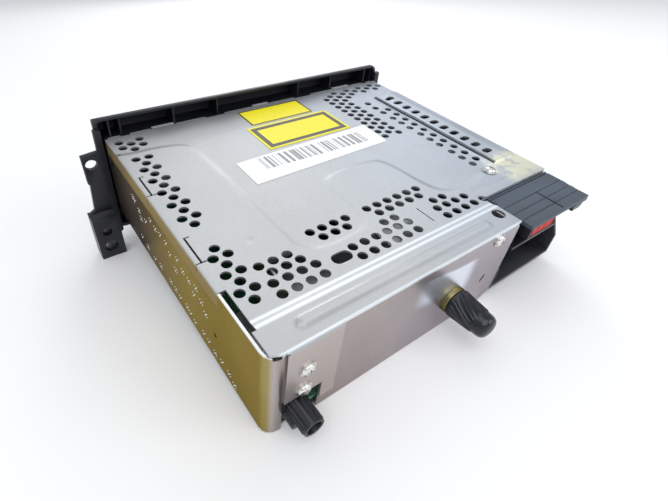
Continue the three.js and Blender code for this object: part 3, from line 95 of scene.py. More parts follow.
def startEditing(piece):
    makeActive(piece)
    bpy.ops.object.mode_set(mode="EDIT")
    bpy.ops.mesh.select_all(action="DESELECT")


def stopEditing():
    bpy.ops.object.mode_set(mode="OBJECT")


def selectWhere(piece, kind, test):
    bpy.ops.mesh.select_mode(type=kind)
    bpy.ops.mesh.select_all(action="DESELECT")
    mesh = bmesh.from_edit_mesh(piece.data)
    for part in (mesh.faces if kind == "FACE" else mesh.edges):
        part.select_set(test(part))
    bmesh.update_edit_mesh(piece.data)


def selectFaces(piece, test):
    selectWhere(piece, "FACE", lambda face: test(face.calc_center_median(), face.normal))


def boundaryEdges(piece, test):
    # Selects the open edges whose two ends both pass the test
    selectWhere(piece, "EDGE", lambda edge: edge.is_boundary and all(test(end.co) for end in edge.verts))


def pushSelected(piece, share):
    # Moves each selected point out or in from the Z axis by the share that its turn asks for
    mesh = bmesh.from_edit_mesh(piece.data)
    ring = sorted((v for v in mesh.verts if v.select), key=lambda v: math.atan2(v.co.y, v.co.x))
    for index, vertex in enumerate(ring):
        amount = share(index, vertex)
        vertex.co.x *= amount
        vertex.co.y *= amount
    bmesh.update_edit_mesh(piece.data)


def ringAt(piece, radius):
    pushSelected(piece, lambda index, vertex: radius / math.hypot(vertex.co.x, vertex.co.y))


def scaleBy(x, y, z=1, centre=(0, 0, 0)):
    bpy.ops.transform.resize(value=(x, y, z), center_override=centre)


def weldOutward():
    # Welds the piece that is being edited and turns its faces outwards
    bpy.ops.mesh.select_all(action="SELECT")
    bpy.ops.mesh.remove_doubles(threshold=weld)
    bpy.ops.mesh.normals_make_consistent(inside=False)


def splitAt(point, normal, clearOuter=False):
    bpy.ops.mesh.bisect(plane_co=point, plane_no=normal, clear_outer=clearOuter, threshold=weld)


def applyModifiers(piece):
    makeActive(piece)
    for modifier in list(piece.modifiers):
        bpy.ops.object.modifier_apply(modifier=modifier.name)


def settlePlace(piece):
    makeActive(piece)
    bpy.ops.object.transform_apply(location=True, rotation=True, scale=True)


def setDown(piece, spot, *turns):
    # Turns a piece by so many degrees about X, Y and Z, moves it to its spot and fixes it there
    piece.rotation_euler = [math.radians(turn) for turn in turns]
    piece.location = spot
    settlePlace(piece)


def smoothByAngle(piece, degrees):
    makeActive(piece)
    bpy.ops.object.shade_smooth_by_angle(angle=math.radians(degrees))


def added(name):
    piece = bpy.context.object
    piece.name = name
    piece.data.name = name
    return piece


def addDisc(name, points, radius):
    deselectAll()
    bpy.ops.mesh.primitive_circle_add(vertices=points, radius=radius, fill_type="NGON")
    disc = added(name)
    startEditing(disc)
    bpy.ops.mesh.select_all(action="SELECT")
    return disc


def boxBetween(xSpan, ySpan, zSpan, name="cutter"):
    spans = (xSpan, ySpan, zSpan)
    deselectAll()
    bpy.ops.mesh.primitive_cube_add(size=1, location=[(start + end) / 2 for start, end in spans],
                                    scale=[abs(end - start) for start, end in spans])
    box = added(name)
    settlePlace(box)
    return box


def extrudeBy(offset):
    bpy.ops.mesh.extrude_region_move(TRANSFORM_OT_translate={"value": offset})


def joined(pieces, name):
    deselectAll()
    for piece in pieces:
        piece.select_set(True)
    bpy.context.view_layer.objects.active = pieces[0]
    bpy.ops.object.join()
    return added(name)


def copyOf(piece, spot):
    twin = piece.copy()
    twin.data = piece.data.copy()
    twin.location = spot
    bpy.context.scene.collection.objects.link(twin)
    return twin


def cutAway(piece, cutter):
    makeActive(piece)
    modifier = piece.modifiers.new("cut", "BOOLEAN")
    modifier.operation = "DIFFERENCE"
    modifier.solver = "MANIFOLD"
    modifier.object = cutter
    bpy.ops.object.modifier_apply(modifier=modifier.name)
    bpy.data.objects.remove(cutter)


def bevelEdges(piece, width, segments=2, angle=40):
    modifier = piece.modifiers.new("edges", "BEVEL")
    modifier.width = width
    modifier.segments = segments
    modifier.limit_method = "ANGLE"
    modifier.angle_limit = math.radians(angle)
    applyModifiers(piece)


# A finished piece rides on its body, stands for its nodes and takes its finish

def place(piece, finish, body="root", replacing=()):
    piece.data.materials.clear()
    piece.data.materials.append(finishes[finish])
    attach(piece, body)
    if replacing:
        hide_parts(*replacing)


# Finishes

def shaderTree(name):
    material = bpy.data.materials.new(name)
    material.use_nodes = True
    tree = material.node_tree
    shader = tree.nodes["Principled BSDF"]
    coords = tree.nodes.new("ShaderNodeTexCoord")
    return material, tree, shader, coords.outputs["Object"]


def feed(socket, value):
    # A socket takes another node's output, a colour or a number
    if isinstance(value, bpy.types.NodeSocket):
        socket.id_data.links.new(value, socket)
    elif isinstance(value, tuple) and len(value) == 3:
        socket.default_value = (*value, 1.0)
    else:
        socket.default_value = value


def setInputs(node, **values):
    # A word such as FromMin stands for the socket From Min
    for word, value in values.items():
        name = "".join(" " + letter if letter.isupper() else letter for letter in word).strip()
        feed(node.inputs[name], value)


def addNode(tree, kind, **values):
    node = tree.nodes.new("ShaderNode" + kind)
    setInputs(node, **values)
    return node


def noiseNode(tree, coords, scale, detail=3.0, roughness=0.55):
    noise = addNode(tree, "TexNoise", Vector=coords, Scale=scale, Detail=detail, Roughness=roughness)
    return noise.outputs["Fac"]


def rampNode(tree, factor, low, high, start=0.35, end=0.65):
    ramp = addNode(tree, "ValToRGB", Fac=factor)
    for element, spot, colour in zip(ramp.color_ramp.elements, (start, end), (low, high)):
        element.position = spot
        element.color = (*colour, 1.0)
    return ramp.outputs["Color"]


def rangeNode(tree, value, start, end, low=0.0, high=1.0):
    mapped = addNode(tree, "MapRange", Value=value, FromMin=start, FromMax=end, ToMin=low, ToMax=high)
    mapped.interpolation_type = "SMOOTHSTEP"
    return mapped.outputs["Result"]


def mixColour(tree, factor, first, second, blend="MIX"):
    mixed = tree.nodes.new("ShaderNodeMix")
    mixed.data_type = "RGBA"
    mixed.blend_type = blend
    for index, value in ((0, factor), (6, first), (7, second)):
        feed(mixed.inputs[index], value)
    return mixed.outputs[2]


def mathNode(tree, operation, first, second):
    made = tree.nodes.new("ShaderNodeMath")
    made.operation = operation
    feed(made.inputs[0], first)
    feed(made.inputs[1], second)
    return made.outputs[0]


def productOf(tree, first, *factors):
    for factor in factors:
        first = mathNode(tree, "MULTIPLY", first, factor)
    return first


def bandNode(tree, value, riseStart, riseEnd, fallStart, fallEnd):
    # 1 between the rise and the fall, 0 outside them
    return productOf(tree, rangeNode(tree, value, riseStart, riseEnd),
                     rangeNode(tree, value, fallStart, fallEnd, 1.0, 0.0))


def bumpNode(tree, height, distance):
    return addNode(tree, "Bump", Height=height, Distance=distance, Strength=1.0).outputs["Normal"]


def axisValues(tree, coords):
    return addNode(tree, "SeparateXYZ", Vector=coords).outputs


def lighter(colour, share):
    return tuple(min(1.0, channel * share) for channel in colour)


def sheetSteel(name, values):
    # Rolled and zinc-coated sheet: fine flecks, faint clouds and a satin shine that varies
    material, tree, shader, coords = shaderTree(name)
    flecks = noiseNode(tree, coords, values["fleckScale"], 2.0)
    clouds = noiseNode(tree, coords, values["cloudScale"], 4.0)
    colour = rampNode(tree, clouds, lighter(values["colour"], 0.95), lighter(values["colour"], 1.05))
    specks = rampNode(tree, flecks, (0.88, 0.88, 0.88), (1.06, 1.06, 1.06), 0.38, 0.62)
    colour = mixColour(tree, values["fleckShare"], colour, specks, "MULTIPLY")
    if "paint" in values:
        colour = values["paint"](tree, coords, colour)
    shine = rangeNode(tree, clouds, 0.3, 0.7, values["roughness"] - 0.04, values["roughness"] + 0.05)
    setInputs(shader, BaseColor=colour, SpecularTint=colour, Metallic=values["metallic"], Roughness=shine,
              Normal=bumpNode(tree, flecks, values["bump"]))
    return material


def mouldedPlastic(name, values):
    # Moulded plastic: a fine spark-eroded grain, slight sink clouds and rubbed lighter places
    material, tree, shader, coords = shaderTree(name)
    grain = noiseNode(tree, coords, values["grainScale"], 2.0)
    clouds = noiseNode(tree, coords, 60.0)
    colour = rampNode(tree, clouds, lighter(values["colour"], 0.86), lighter(values["colour"], 1.16))
    rubbed = rampNode(tree, grain, (0.94, 0.94, 0.94), (1.05, 1.05, 1.05))
    colour = mixColour(tree, 0.6, colour, rubbed, "MULTIPLY")
    shine = rangeNode(tree, clouds, 0.3, 0.7, values["roughness"] - 0.05, values["roughness"] + 0.06)
    setInputs(shader, BaseColor=colour, Roughness=shine, Normal=bumpNode(tree, grain, values["bump"]))
    shader.inputs["Specular IOR Level"].default_value = values.get("specular", 0.5)
    return material


# The cover turns from neutral grey at the left to pale blue-grey at the right, a painted sky reflection. It
# has a smear of old tape near its right rear corner, painted highlights as bright lines along the step and
# the rear bend and on its front tabs, and on its flanges the walls' painted reflections

coverTints = {
    # painted sky reflection: the blue-grey towards the right
    "reflectedSkyX": leftSpan(30, 170), "cool": (1.06, 1.12, 1.22),
    "smearX": leftSpan(150, 158), "smearY": rearSpan(44, 38, 24, 17), "smearScale": 110.0,
    "torn": (0.34, 0.52), "smearStrength": 0.75, "smear": (0.93, 0.92, 0.70),
    # painted highlights: bright lines along the step and the rear bend
    "brightY": [rearSpan(16.6, 14.2), rearSpan(14.0, 11.2), rearSpan(1.0, -0.9)],
    "brightStrength": 0.75, "bright": (0.88, 0.94, 0.99),
    # painted highlight: the front tabs are pale
    "tabY": (fromFront(-0.7), fromFront(-1.1)), "tab": (0.93, 0.93, 0.94),
    # the flanges below the top carry the walls' painted reflections, brass at the left and pink at the rear
    "flangeReflectionZ": (caseHigh.z - 1.2 * mm, caseHigh.z - 0.4 * mm),
    "flangeReflections": [(0, leftSpan(1.2, 0.5), (0.37, 0.29, 0.14)), (1, rearSpan(0.6, -0.2), (0.50, 0.45, 0.43))],
}


def coverPaint(tree, coords, colour):
    tints = coverTints
    axes = axisValues(tree, coords)
    # painted sky reflection: the cover grows bluer towards the right
    colour = mixColour(tree, rangeNode(tree, axes[0], *tints["reflectedSkyX"]), colour, tints["cool"], "MULTIPLY")
    torn = rangeNode(tree, noiseNode(tree, coords, tints["smearScale"], 5.0, 0.7), *tints["torn"])
    smeared = productOf(tree, rangeNode(tree, axes[0], *tints["smearX"]),
                        bandNode(tree, axes[1], *tints["smearY"]), torn, tints["smearStrength"])
    colour = mixColour(tree, smeared, colour, tints["smear"])
    # painted highlights: bright lines along both edges of the step and along the rear bend
    for start, end in tints["brightY"]:
        middle = (start + end) / 2
        bright = productOf(tree, bandNode(tree, axes[1], start, middle, middle, end), tints["brightStrength"])
        colour = mixColour(tree, bright, colour, tints["bright"])
    # painted highlight on the front tabs
    colour = mixColour(tree, rangeNode(tree, axes[1], *tints["tabY"]), colour, tints["tab"])
    # painted reflections on the flanges, the same as on the walls beside them
    low = rangeNode(tree, axes[2], *tints["flangeReflectionZ"], 1.0, 0.0)
    for axis, span, tone in tints["flangeReflections"]:
        colour = mixColour(tree, productOf(tree, low, rangeNode(tree, axes[axis], *span)), colour, tone)
    return colour


# The side wall is warm brassy, darker towards the front, and the rear wall pinkish grey, lighter to the
# right:
# both are painted reflections. The rear wall has a painted highlight as a pale band at its corner and a
# painted sky reflection as a pale patch beside the stud with soft slanting edges; the walls' top lip is a
# pale painted highlight

wallTints = {
    "cornerX": leftSpan(3.2, 0.9), "sideY": rearSpan(125, 55),
    # painted reflection: the side wall's warm brassy tone, darker towards the front
    "warmReflectionFront": (0.36, 0.30, 0.25), "warmReflectionRear": (0.56, 0.46, 0.225),
    # painted reflection: the rear wall's pinkish grey, lighter and bluer to the right
    "rearX": leftSpan(110, 14), "rearReflectionLeft": (0.60, 0.54, 0.52), "rearReflectionRight": (0.70, 0.66, 0.70),
    # painted highlight: a pale band down the rounded rear corner
    "cornerHighlightX": leftSpan(9, 4.2, 1.5, 4.2), "band": (0.74, 0.70, 0.72),
    # painted reflection: a pale patch of mirrored sky beside the stud, with soft slanting wavy edges
    "mirroredSkySlope": -0.12, "mirroredSkyLow": (0.0185, 0.0255), "mirroredSkyHigh": (0.0392, 0.0412),
    "mirroredSkyX": leftSpan(104, 96, 74, 64), "mirroredSkyScale": 45.0, "mirroredSkyWave": 0.004, "mirroredSky": (1.1, 1.14, 1.25),
    # painted highlight: the walls' top lip is pale
    "lipZ": (caseHigh.z - 0.75 * mm, caseHigh.z - 0.35 * mm), "lip": (0.95, 0.95, 0.94),
}


def wallPaint(tree, coords, colour):
    tints = wallTints
    axes = axisValues(tree, coords)
    # painted reflection on the side wall, darker towards the front
    rearward = rangeNode(tree, axes[1], *tints["sideY"])
    warmReflection = mixColour(tree, rearward, tints["warmReflectionFront"], tints["warmReflectionRear"])
    # painted reflection on the rear wall, lighter to the right
    rear = mixColour(tree, rangeNode(tree, axes[0], *tints["rearX"]), tints["rearReflectionRight"], tints["rearReflectionLeft"])
    # painted highlight along the rounded corner
    rear = mixColour(tree, bandNode(tree, axes[0], *tints["cornerHighlightX"]), rear, tints["band"])
    # painted sky reflection beside the stud, bounded by two slanting wavy edges
    mirroredSkyWaves = productOf(tree, noiseNode(tree, coords, tints["mirroredSkyScale"], 2.0), tints["mirroredSkyWave"])
    high = mathNode(tree, "ADD", axes[2], productOf(tree, axes[0], tints["mirroredSkySlope"]))
    high = mathNode(tree, "ADD", high, mirroredSkyWaves)
    low = mathNode(tree, "ADD", axes[2], productOf(tree, axes[0], tints["mirroredSkySlope"] * 2))
    mirroredSky = productOf(tree, rangeNode(tree, high, *tints["mirroredSkyHigh"], 1.0, 0.0),
                      rangeNode(tree, low, *tints["mirroredSkyLow"]), bandNode(tree, axes[0], *tints["mirroredSkyX"]))
    rear = mixColour(tree, mirroredSky, rear, tints["mirroredSky"])
    both = mixColour(tree, rangeNode(tree, axes[0], *tints["cornerX"]), rear, warmReflection)
    # painted highlight along the walls' top lip
    both = mixColour(tree, rangeNode(tree, axes[2], *tints["lipZ"]), both, tints["lip"])
    return mixColour(tree, 1.0, colour, both, "MULTIPLY")


goldMetal = dict(colour=(0.25, 0.21, 0.10), roughness=0.34, metallic=0.95, fleckScale=1800.0,
                 cloudScale=200.0, fleckShare=0.4, bump=0.000004)
sheetLooks = {
    "cover_steel": dict(colour=(0.50, 0.51, 0.515), roughness=0.38, metallic=0.7, fleckScale=3200.0,
                        cloudScale=24.0, fleckShare=0.8, bump=0.000012, paint=coverPaint),
    "body_steel": dict(colour=(0.80, 0.80, 0.80), roughness=0.26, metallic=0.92, fleckScale=2200.0,
                       cloudScale=18.0, fleckShare=0.5, bump=0.000006, paint=wallPaint),
    "plain_steel": dict(colour=(0.60, 0.61, 0.62), roughness=0.32, metallic=0.9, fleckScale=1500.0,
                        cloudScale=40.0, fleckShare=0.5, bump=0.000006),
    "screw_zinc": dict(colour=(0.78, 0.78, 0.75), roughness=0.2, metallic=0.95, fleckScale=1500.0,
                       cloudScale=400.0, fleckShare=0.4, bump=0.000006),
    "sink_aluminium": dict(colour=(0.66, 0.67, 0.68), roughness=0.38, metallic=0.9, fleckScale=1200.0,
                           cloudScale=60.0, fleckShare=0.4, bump=0.00001),
    "gold_plate": goldMetal, "contact_gold": goldMetal,
}
plasticLooks = {
    "black_plastic": dict(colour=(0.007, 0.008, 0.013), roughness=0.4, grainScale=3000.0, bump=0.00002),
    "slate_plastic": dict(colour=(0.062, 0.082, 0.108), roughness=0.55, grainScale=2600.0, bump=0.00002),
    "dark_plastic": dict(colour=(0.004, 0.0045, 0.009), roughness=0.38, grainScale=2600.0, bump=0.00001),
    "key_plastic": dict(colour=(0.022, 0.023, 0.027), roughness=0.38, grainScale=3400.0, bump=0.000012),
    "window_plastic": dict(colour=(0.008, 0.01, 0.013), roughness=0.08, grainScale=900.0, bump=0.000001),
    "red_plastic": dict(colour=(0.50, 0.006, 0.006), roughness=0.4, grainScale=900.0, bump=0.000004,
                        specular=0.12),
    "white_plastic": dict(colour=(0.70, 0.68, 0.62), roughness=0.45, grainScale=2000.0, bump=0.00001),
    "boot_rubber": dict(colour=(0.006, 0.008, 0.014), roughness=0.26, grainScale=1500.0, bump=0.00002),
    "roller_rubber": dict(colour=(0.02, 0.02, 0.022), roughness=0.6, grainScale=1800.0, bump=0.00003),
}


def feltLook(name):
    material, tree, shader, coords = shaderTree(name)
    fibres = noiseNode(tree, coords, 1400.0, 6.0, 0.8)
    colour = rampNode(tree, fibres, (0.006, 0.006, 0.007), (0.035, 0.035, 0.04))
    setInputs(shader, BaseColor=colour, Roughness=0.95, SheenWeight=0.4,
              Normal=bumpNode(tree, fibres, 0.0002))
    return material


def boardLook(name):
    # Green solder mask over copper tracks, with pale pads
    material, tree, shader, coords = shaderTree(name)
    tracks = addNode(tree, "TexBrick", Vector=coords, Scale=160.0, MortarSize=0.03,
                     Color1=(0.020, 0.115, 0.060), Color2=(0.026, 0.14, 0.075), Mortar=(0.05, 0.22, 0.12))
    pads = rangeNode(tree, noiseNode(tree, coords, 420.0, 1.0), 0.70, 0.73)
    colour = mixColour(tree, pads, tracks.outputs["Color"], (0.55, 0.56, 0.55))
    setInputs(shader, BaseColor=colour, Roughness=0.35, Normal=bumpNode(tree, tracks.outputs["Fac"], 0.00003))
    return material


def glassLook(name):
    material, tree, shader, coords = shaderTree(name)
    coating = rampNode(tree, noiseNode(tree, coords, 300.0, 1.0), (0.30, 0.42, 0.66), (0.50, 0.60, 0.80))
    setInputs(shader, BaseColor=coating, Roughness=0.04, CoatWeight=1.0)
    return material


def labelLook(name, colour, printing):
    # A printed film: its colour, a rim or some plain bars, and a slight gloss
    material, tree, shader, coords = shaderTree(name)
    fibres = noiseNode(tree, coords, 900.0, 4.0)
    base = rampNode(tree, fibres, lighter(colour, 0.95), lighter(colour, 1.03))
    setInputs(shader, BaseColor=printing(tree, axisValues(tree, coords), base), Roughness=0.42,
              Normal=bumpNode(tree, fibres, 0.00001))
    return material


def insideBox(tree, axes, xSpan, ySpan):
    # 1 inside a box on the plan, 0 outside it
    steps = []
    for value, (low, high) in zip(axes, (xSpan, ySpan)):
        steps += [mathNode(tree, "GREATER_THAN", value, low), mathNode(tree, "LESS_THAN", value, high)]
    return productOf(tree, *steps)


# Each yellow label's rim lies between two distances from its edge, in mm

yellowRims = {
    "label_small_yellow": {"rim": (0.0, 0.9), "ink": (0.03, 0.03, 0.028)},
    "label_large_yellow": {"rim": (1.3, 4.0), "ink": (0.085, 0.08, 0.06)},
}


def yellowPrint(tree, axes, base):
    for node, label in yellowRims.items():
        low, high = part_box(node)
        outer, inner = [
            insideBox(tree, axes, (low.x + edge, high.x - edge), (low.y + edge, high.y - edge))
            for edge in [distance * mm for distance in label["rim"]]
        ]
        base = mixColour(tree, mathNode(tree, "SUBTRACT", outer, inner), base, label["ink"])
    return base


whiteBars = {"x": leftSpan(117, 55), "y": rearSpan(97.6, 87.4), "tilt": 0.03, "scale": 620.0,
             "strength": 0.72, "ink": (0.06, 0.065, 0.07)}


def barPrint(tree, axes, base):
    # Plain bars of uneven width along the middle of the white label
    bars = whiteBars
    back = mathNode(tree, "ADD", axes[1], productOf(tree, axes[0], bars["tilt"]))
    zone = insideBox(tree, (axes[0], back), bars["x"], bars["y"])
    flat = addNode(tree, "CombineXYZ", X=axes[0]).outputs["Vector"]
    uneven = noiseNode(tree, flat, bars["scale"], 1.0, 0.4)
    black = productOf(tree, zone, mathNode(tree, "GREATER_THAN", uneven, 0.5), bars["strength"])
    return mixColour(tree, black, base, bars["ink"])


finishes = {
    "felt": feltLook("felt"),
    "board": boardLook("board"),
    "lens_glass": glassLook("lens_glass"),
    "yellow_label": labelLook("yellow_label", (0.86, 0.76, 0.01), yellowPrint),
    "white_label": labelLook("white_label", (0.86, 0.87, 0.87), barPrint),
}
for make, looks in ((sheetSteel, sheetLooks), (mouldedPlastic, plasticLooks)):
    for finishName, look in looks.items():
        finishes[finishName] = make(finishName, look)

nodeFinish = {part["node"]: part["material_slot"] for part in frame["record"]["subparts"]}
for nodeName, node in nodes.items():
    if not node.material_slots:
        node.data.materials.append(None)
    node.material_slots[0].link = "OBJECT"
    node.material_slots[0].material = finishes[nodeFinish[nodeName]]
print("finishes are on", len(nodes), "nodes")


# Moulded and pressed pieces that keep a node's shape but have rounded edges

def roundedCopy(nodeName, width, segments=2, angle=40, smooth=40):
    piece = bpy.data.objects.new(nodeName + "_finished", nodes[nodeName].data.copy())
    bpy.context.scene.collection.objects.link(piece)
    startEditing(piece)
    bpy.ops.mesh.select_all(action="SELECT")
    bpy.ops.mesh.remove_doubles(threshold=2 * weld)
    bpy.ops.mesh.dissolve_limited(angle_limit=math.radians(0.5))
    stopEditing()
    bevelEdges(piece, width * mm, segments, angle)
    smoothByAngle(piece, smooth)
    return piece


roundedEdges = {        # how wide each node's edges are rounded, in mm, and in how many segments
    "front_bezel": (0.45, 2), "bracket_left": (0.5, 2), "bracket_right": (0.5, 2),
    "connector_housing": (0.35, 2), "coding_insert": (0.4, 2), "aerial_plug": (0.25, 2),
    "display_window": (0.3, 2), "source_button": (0.5, 3), "eject_button": (0.5, 3), "stud_nut": (0.25, 2),
    "deck_frame": (0.2, 1), "clamp_arm": (0.2, 1), "heat_sink": (0.15, 1), "tuner_module": (0.4, 2),
}
for number in range(1, 7):
    roundedEdges["preset_button_" + str(number)] = (0.5, 3)
nodeBody = {name: body for body, names in frame["record"]["behaviour"]["bodies"].items() for name in names}
for nodeName, (width, segments) in roundedEdges.items():
    finished = roundedCopy(nodeName, width, segments)
    place(finished, nodeFinish[nodeName], nodeBody[nodeName], [nodeName])
print("rounded pieces", len(roundedEdges))

# Top cover: one pressed sheet with lowered and raised panels, folds, lanced fingers and vents

coverShape = {
    "sheet": 0.9, "cells": (178, 150), "smoothAngle": 28, "notch": (51.5, 20),
    "panelDrop": 0.65, "panelSlope": 3.4,
    "panelEdgeShares": [
        (-0.05, 0.878), (0.155, 0.871), (0.198, 0.813), (0.2, 0.285), (0.207, 0.244), (0.245, 0.208),
        (0.363, 0.214), (0.394, 0.244), (0.4, 0.443), (0.437, 0.47), (0.586, 0.475), (0.617, 0.433),
        (0.628, 0.259), (0.664, 0.212), (0.764, 0.212), (0.836, 0.232), (0.889, 0.235), (0.889, 0.857),
        (1.05, 0.857), (1.05, 1.05), (-0.05, 1.05),
    ],
    "rearRise": 0.7, "rearStep": (15.6, 12.0),
    "beadRise": 0.8, "bead": (16.6, 110.6, 6.9), "beadHalf": 2.4, "beadSide": 1.3,
    "stripRise": 1.3, "strip": (158.5, 170.5, 176.8), "stripEnds": (35.8, 128.0), "stripSide": 1.2,
    "dimple": (22.6, 48.9, 2.0, -0.35), "screwDish": (149.8, 33.1, 4.6, -0.55), "dishEdge": 1.3,
    "crease": ((128.0, 25.6), (156.3, 24.8), 0.9, -0.28),
    "leftInset": (1.5, 3.2), "leftSteps": (11.5, 31.5), "cornerMiddle": 4.6, "cornerRadius": 4.0,
    "cornerTurns": (22.5, 45, 67.5), "flangeDrop": 8.3, "fold": 0.9, "rearDrop": 1.0, "edgeCells": 1.1,
    "flapShares": (0.0365, 0.1236, 0.159), "flapDrops": (28.0, 37.9),
    "tabShares": [(0.011, 0.044), (0.072, 0.131), (0.207, 0.302), (0.37, 0.466), (0.537, 0.633),
                  (0.707, 0.802), (0.888, 0.944), (0.972, 0.989)],
    "tongueShares": [(0.135, 0.201), (0.472, 0.53), (0.807, 0.88)],
    "tabSteps": [(0.5, 0), (2.0, 0.6)], "tongueSteps": [(3.1, 0)],        # forward and down
    "bend": 0.6, "bendSteps": 4, "bendAngle": 60,
}


def onCase(shares):
    return Vector((caseHigh.x - shares[0] * caseSize.x, caseHigh.y - shares[1] * caseSize.y, 0))


def smoothStep(values):
    kept = numpy.clip(values, 0.0, 1.0)
    return kept * kept * (3.0 - 2.0 * kept)


def segmentDistance(points, start, end):
    start, end = numpy.array(start), numpy.array(end)
    along = end - start
    share = numpy.clip(((points - start) @ along) / (along @ along), 0.0, 1.0)
    return numpy.linalg.norm(points - start - share[:, None] * along, axis=1)


def outlineDistance(points, outline):
    # Distance to a closed outline, negative inside it
    distance = numpy.full(len(points), 1e9)
    inside = numpy.zeros(len(points), dtype=bool)
    for start, end in zip(outline, outline[1:] + outline[:1]):
        distance = numpy.minimum(distance, segmentDistance(points, start, end))
        crosses = (start[1] > points[:, 1]) != (end[1] > points[:, 1])
        rise = end[1] - start[1] or 1e-12
        inside ^= crosses & (points[:, 0] < (end[0] - start[0]) * (points[:, 1] - start[1]) / rise + start[0])
    return numpy.where(inside, -distance, distance)


def softened(outline, rounds=2):
    # Cuts the corners of an outline so that a pressed step turns smoothly
    for _ in range(rounds):
        cutOutline = []
        for start, end in zip(outline, outline[1:] + outline[:1]):
            first, last = numpy.array(start), numpy.array(end)
            cutOutline += [tuple(first * 0.75 + last * 0.25), tuple(first * 0.25 + last * 0.75)]
        outline = cutOutline
    return outline


def pressRelief(piece, name, height, weights):
    group = piece.vertex_groups.new(name=name)
    for index in numpy.nonzero(weights > 0.001)[0]:
        group.add([int(index)], float(weights[index]), "REPLACE")
    makeActive(piece)
    modifier = piece.modifiers.new(name, "DISPLACE")
    modifier.direction = "Z"
    modifier.mid_level = 0.0
    modifier.strength = height * mm
    modifier.vertex_group = name
    bpy.ops.object.modifier_apply(modifier=name)
    piece.vertex_groups.remove(piece.vertex_groups[name])


def pressCover(piece):
    shape = coverShape
    places = numpy.empty(len(piece.data.vertices) * 3)
    piece.data.vertices.foreach_get("co", places)
    places = places.reshape(-1, 3)
    across, back = (caseHigh.x - places[:, 0]) / mm, (caseHigh.y - places[:, 1]) / mm
    plan = numpy.stack([across, back], axis=1)
    outline = softened([(a * caseSize.x / mm, b * caseSize.y / mm) for a, b in shape["panelEdgeShares"]])
    lowered = smoothStep(0.5 - outlineDistance(plan, outline) / shape["panelSlope"])
    pressRelief(piece, "panel", -shape["panelDrop"], lowered)
    stepStart, stepEnd = shape["rearStep"]
    pressRelief(piece, "rearStrip", shape["rearRise"], smoothStep((stepStart - back) / (stepStart - stepEnd)))
    beadStart, beadEnd, beadBack = shape["bead"]
    fromBead = segmentDistance(plan, (beadStart, beadBack), (beadEnd, beadBack))
    beaded = smoothStep((shape["beadHalf"] - fromBead) / shape["beadSide"])
    pressRelief(piece, "bead", shape["beadRise"], beaded)
    slit, crest, toe = shape["strip"]
    raised = (across > slit) * numpy.clip((toe - across) / (toe - crest), 0, 1)
    (rearEnd, frontEnd), side = shape["stripEnds"], shape["stripSide"]
    ends = smoothStep((back - rearEnd) / side) * smoothStep((frontEnd - back) / side)
    pressRelief(piece, "strip", shape["stripRise"], raised * ends)
    for name in ("dimple", "screwDish"):
        x, y, radius, depth = shape[name]
        fromMiddle = numpy.hypot(across - x, back - y) / radius
        pressRelief(piece, name, depth, smoothStep(shape["dishEdge"] - fromMiddle * shape["dishEdge"]))
    start, end, width, depth = shape["crease"]
    pressRelief(piece, "crease", depth, smoothStep(1.0 - segmentDistance(plan, start, end) / width))


def foldDown(piece, test, drop, bottom=None, outward=None):
    # Draws an edge outwards by the fold's radius where one is given, then down, as a bent flange
    boundaryEdges(piece, test)
    if outward is not None:
        extrudeBy(outward)
    extrudeBy((0, 0, -drop))
    if bottom is not None:
        scaleBy(1, 1, 0, (0, 0, bottom))


def rodCutter(x, y, radius, zSpan, sides=24, straight=0.0):
    deselectAll()
    bpy.ops.mesh.primitive_cylinder_add(vertices=sides, radius=radius, depth=zSpan[1] - zSpan[0],
                                        location=(x, y, (zSpan[0] + zSpan[1]) / 2))
    cutter = added("cutter")
    if straight:
        # A slot: the half of the rod on each side moves out by half the straight length
        startEditing(cutter)
        for side in (1, -1):
            mesh = bmesh.from_edit_mesh(cutter.data)
            for vertex in mesh.verts:
                vertex.select_set(vertex.co.x * side > 1e-7)
            mesh.select_flush(True)
            bmesh.update_edit_mesh(cutter.data)
            bpy.ops.mesh.select_mode(type="VERT")
            bpy.ops.transform.translate(value=(side * straight / 2, 0, 0))
            bpy.ops.mesh.select_all(action="DESELECT")
        stopEditing()
    settlePlace(cutter)
    return cutter


coverVents = {
    "diameter": 4.2, "rowPitch": 6.02,
    "rowShares": [
        (0.102, 0.134, 4), (0.302, 0.134, 6), (0.574, 0.134, 5),
        (0.102, 0.172, 4), (0.302, 0.172, 6), (0.573, 0.172, 4),
        (0.117, 0.2045, 3), (0.42, 0.205, 2), (0.589, 0.205, 2),
        (0.1015, 0.235, 3), (0.271, 0.246, 3), (0.436, 0.244, 5),
        (0.2535, 0.2775, 4), (0.419, 0.2755, 6),
    ],
    "edgePairShares": (0.0354, 0.0685), "edgeMiddleShare": 0.0517,
    "edgeRunShares": [(0.8285, 0.034, 12, 0), (0.344, 0.0318, 7, 1)],
    "frontFirstShares": (0.7245, 0.968), "frontPitch": (5.1, 5.83),
    "frontColumns": [(2, 10), (1, 10), (0, 11), (1, 2), (0, 2), (1, 1), (0, 2), (1, 1), (0, 2), (1, 1)],
    "tripletShares": (0.8365, 0.82), "tripletPitches": (22, 6.85), "tripletCount": 4,
    "hiddenShares": (0.869, 0.741), "hiddenPitch": 7.27, "hiddenCount": 10,
    "cornerShares": [(0.082, 0.958), (0.0264, 0.959), (0.054, 0.938), (0.0815, 0.92), (0.027, 0.9216),
                     (0.053, 0.9)],
    # the larger holes: across, back, radius, sides and straight length
    "oval": (164.1, 46.0, 2.0, 20, 2.4), "ovalPitch": 7.33, "ovalCount": 11,
    "holes": [(121.6, 8.5, 3.0, 32, 0), (46.6, 23.5, 2.75, 24, 3.5), (149.8, 33.1, 1.8, 20, 0)],
}


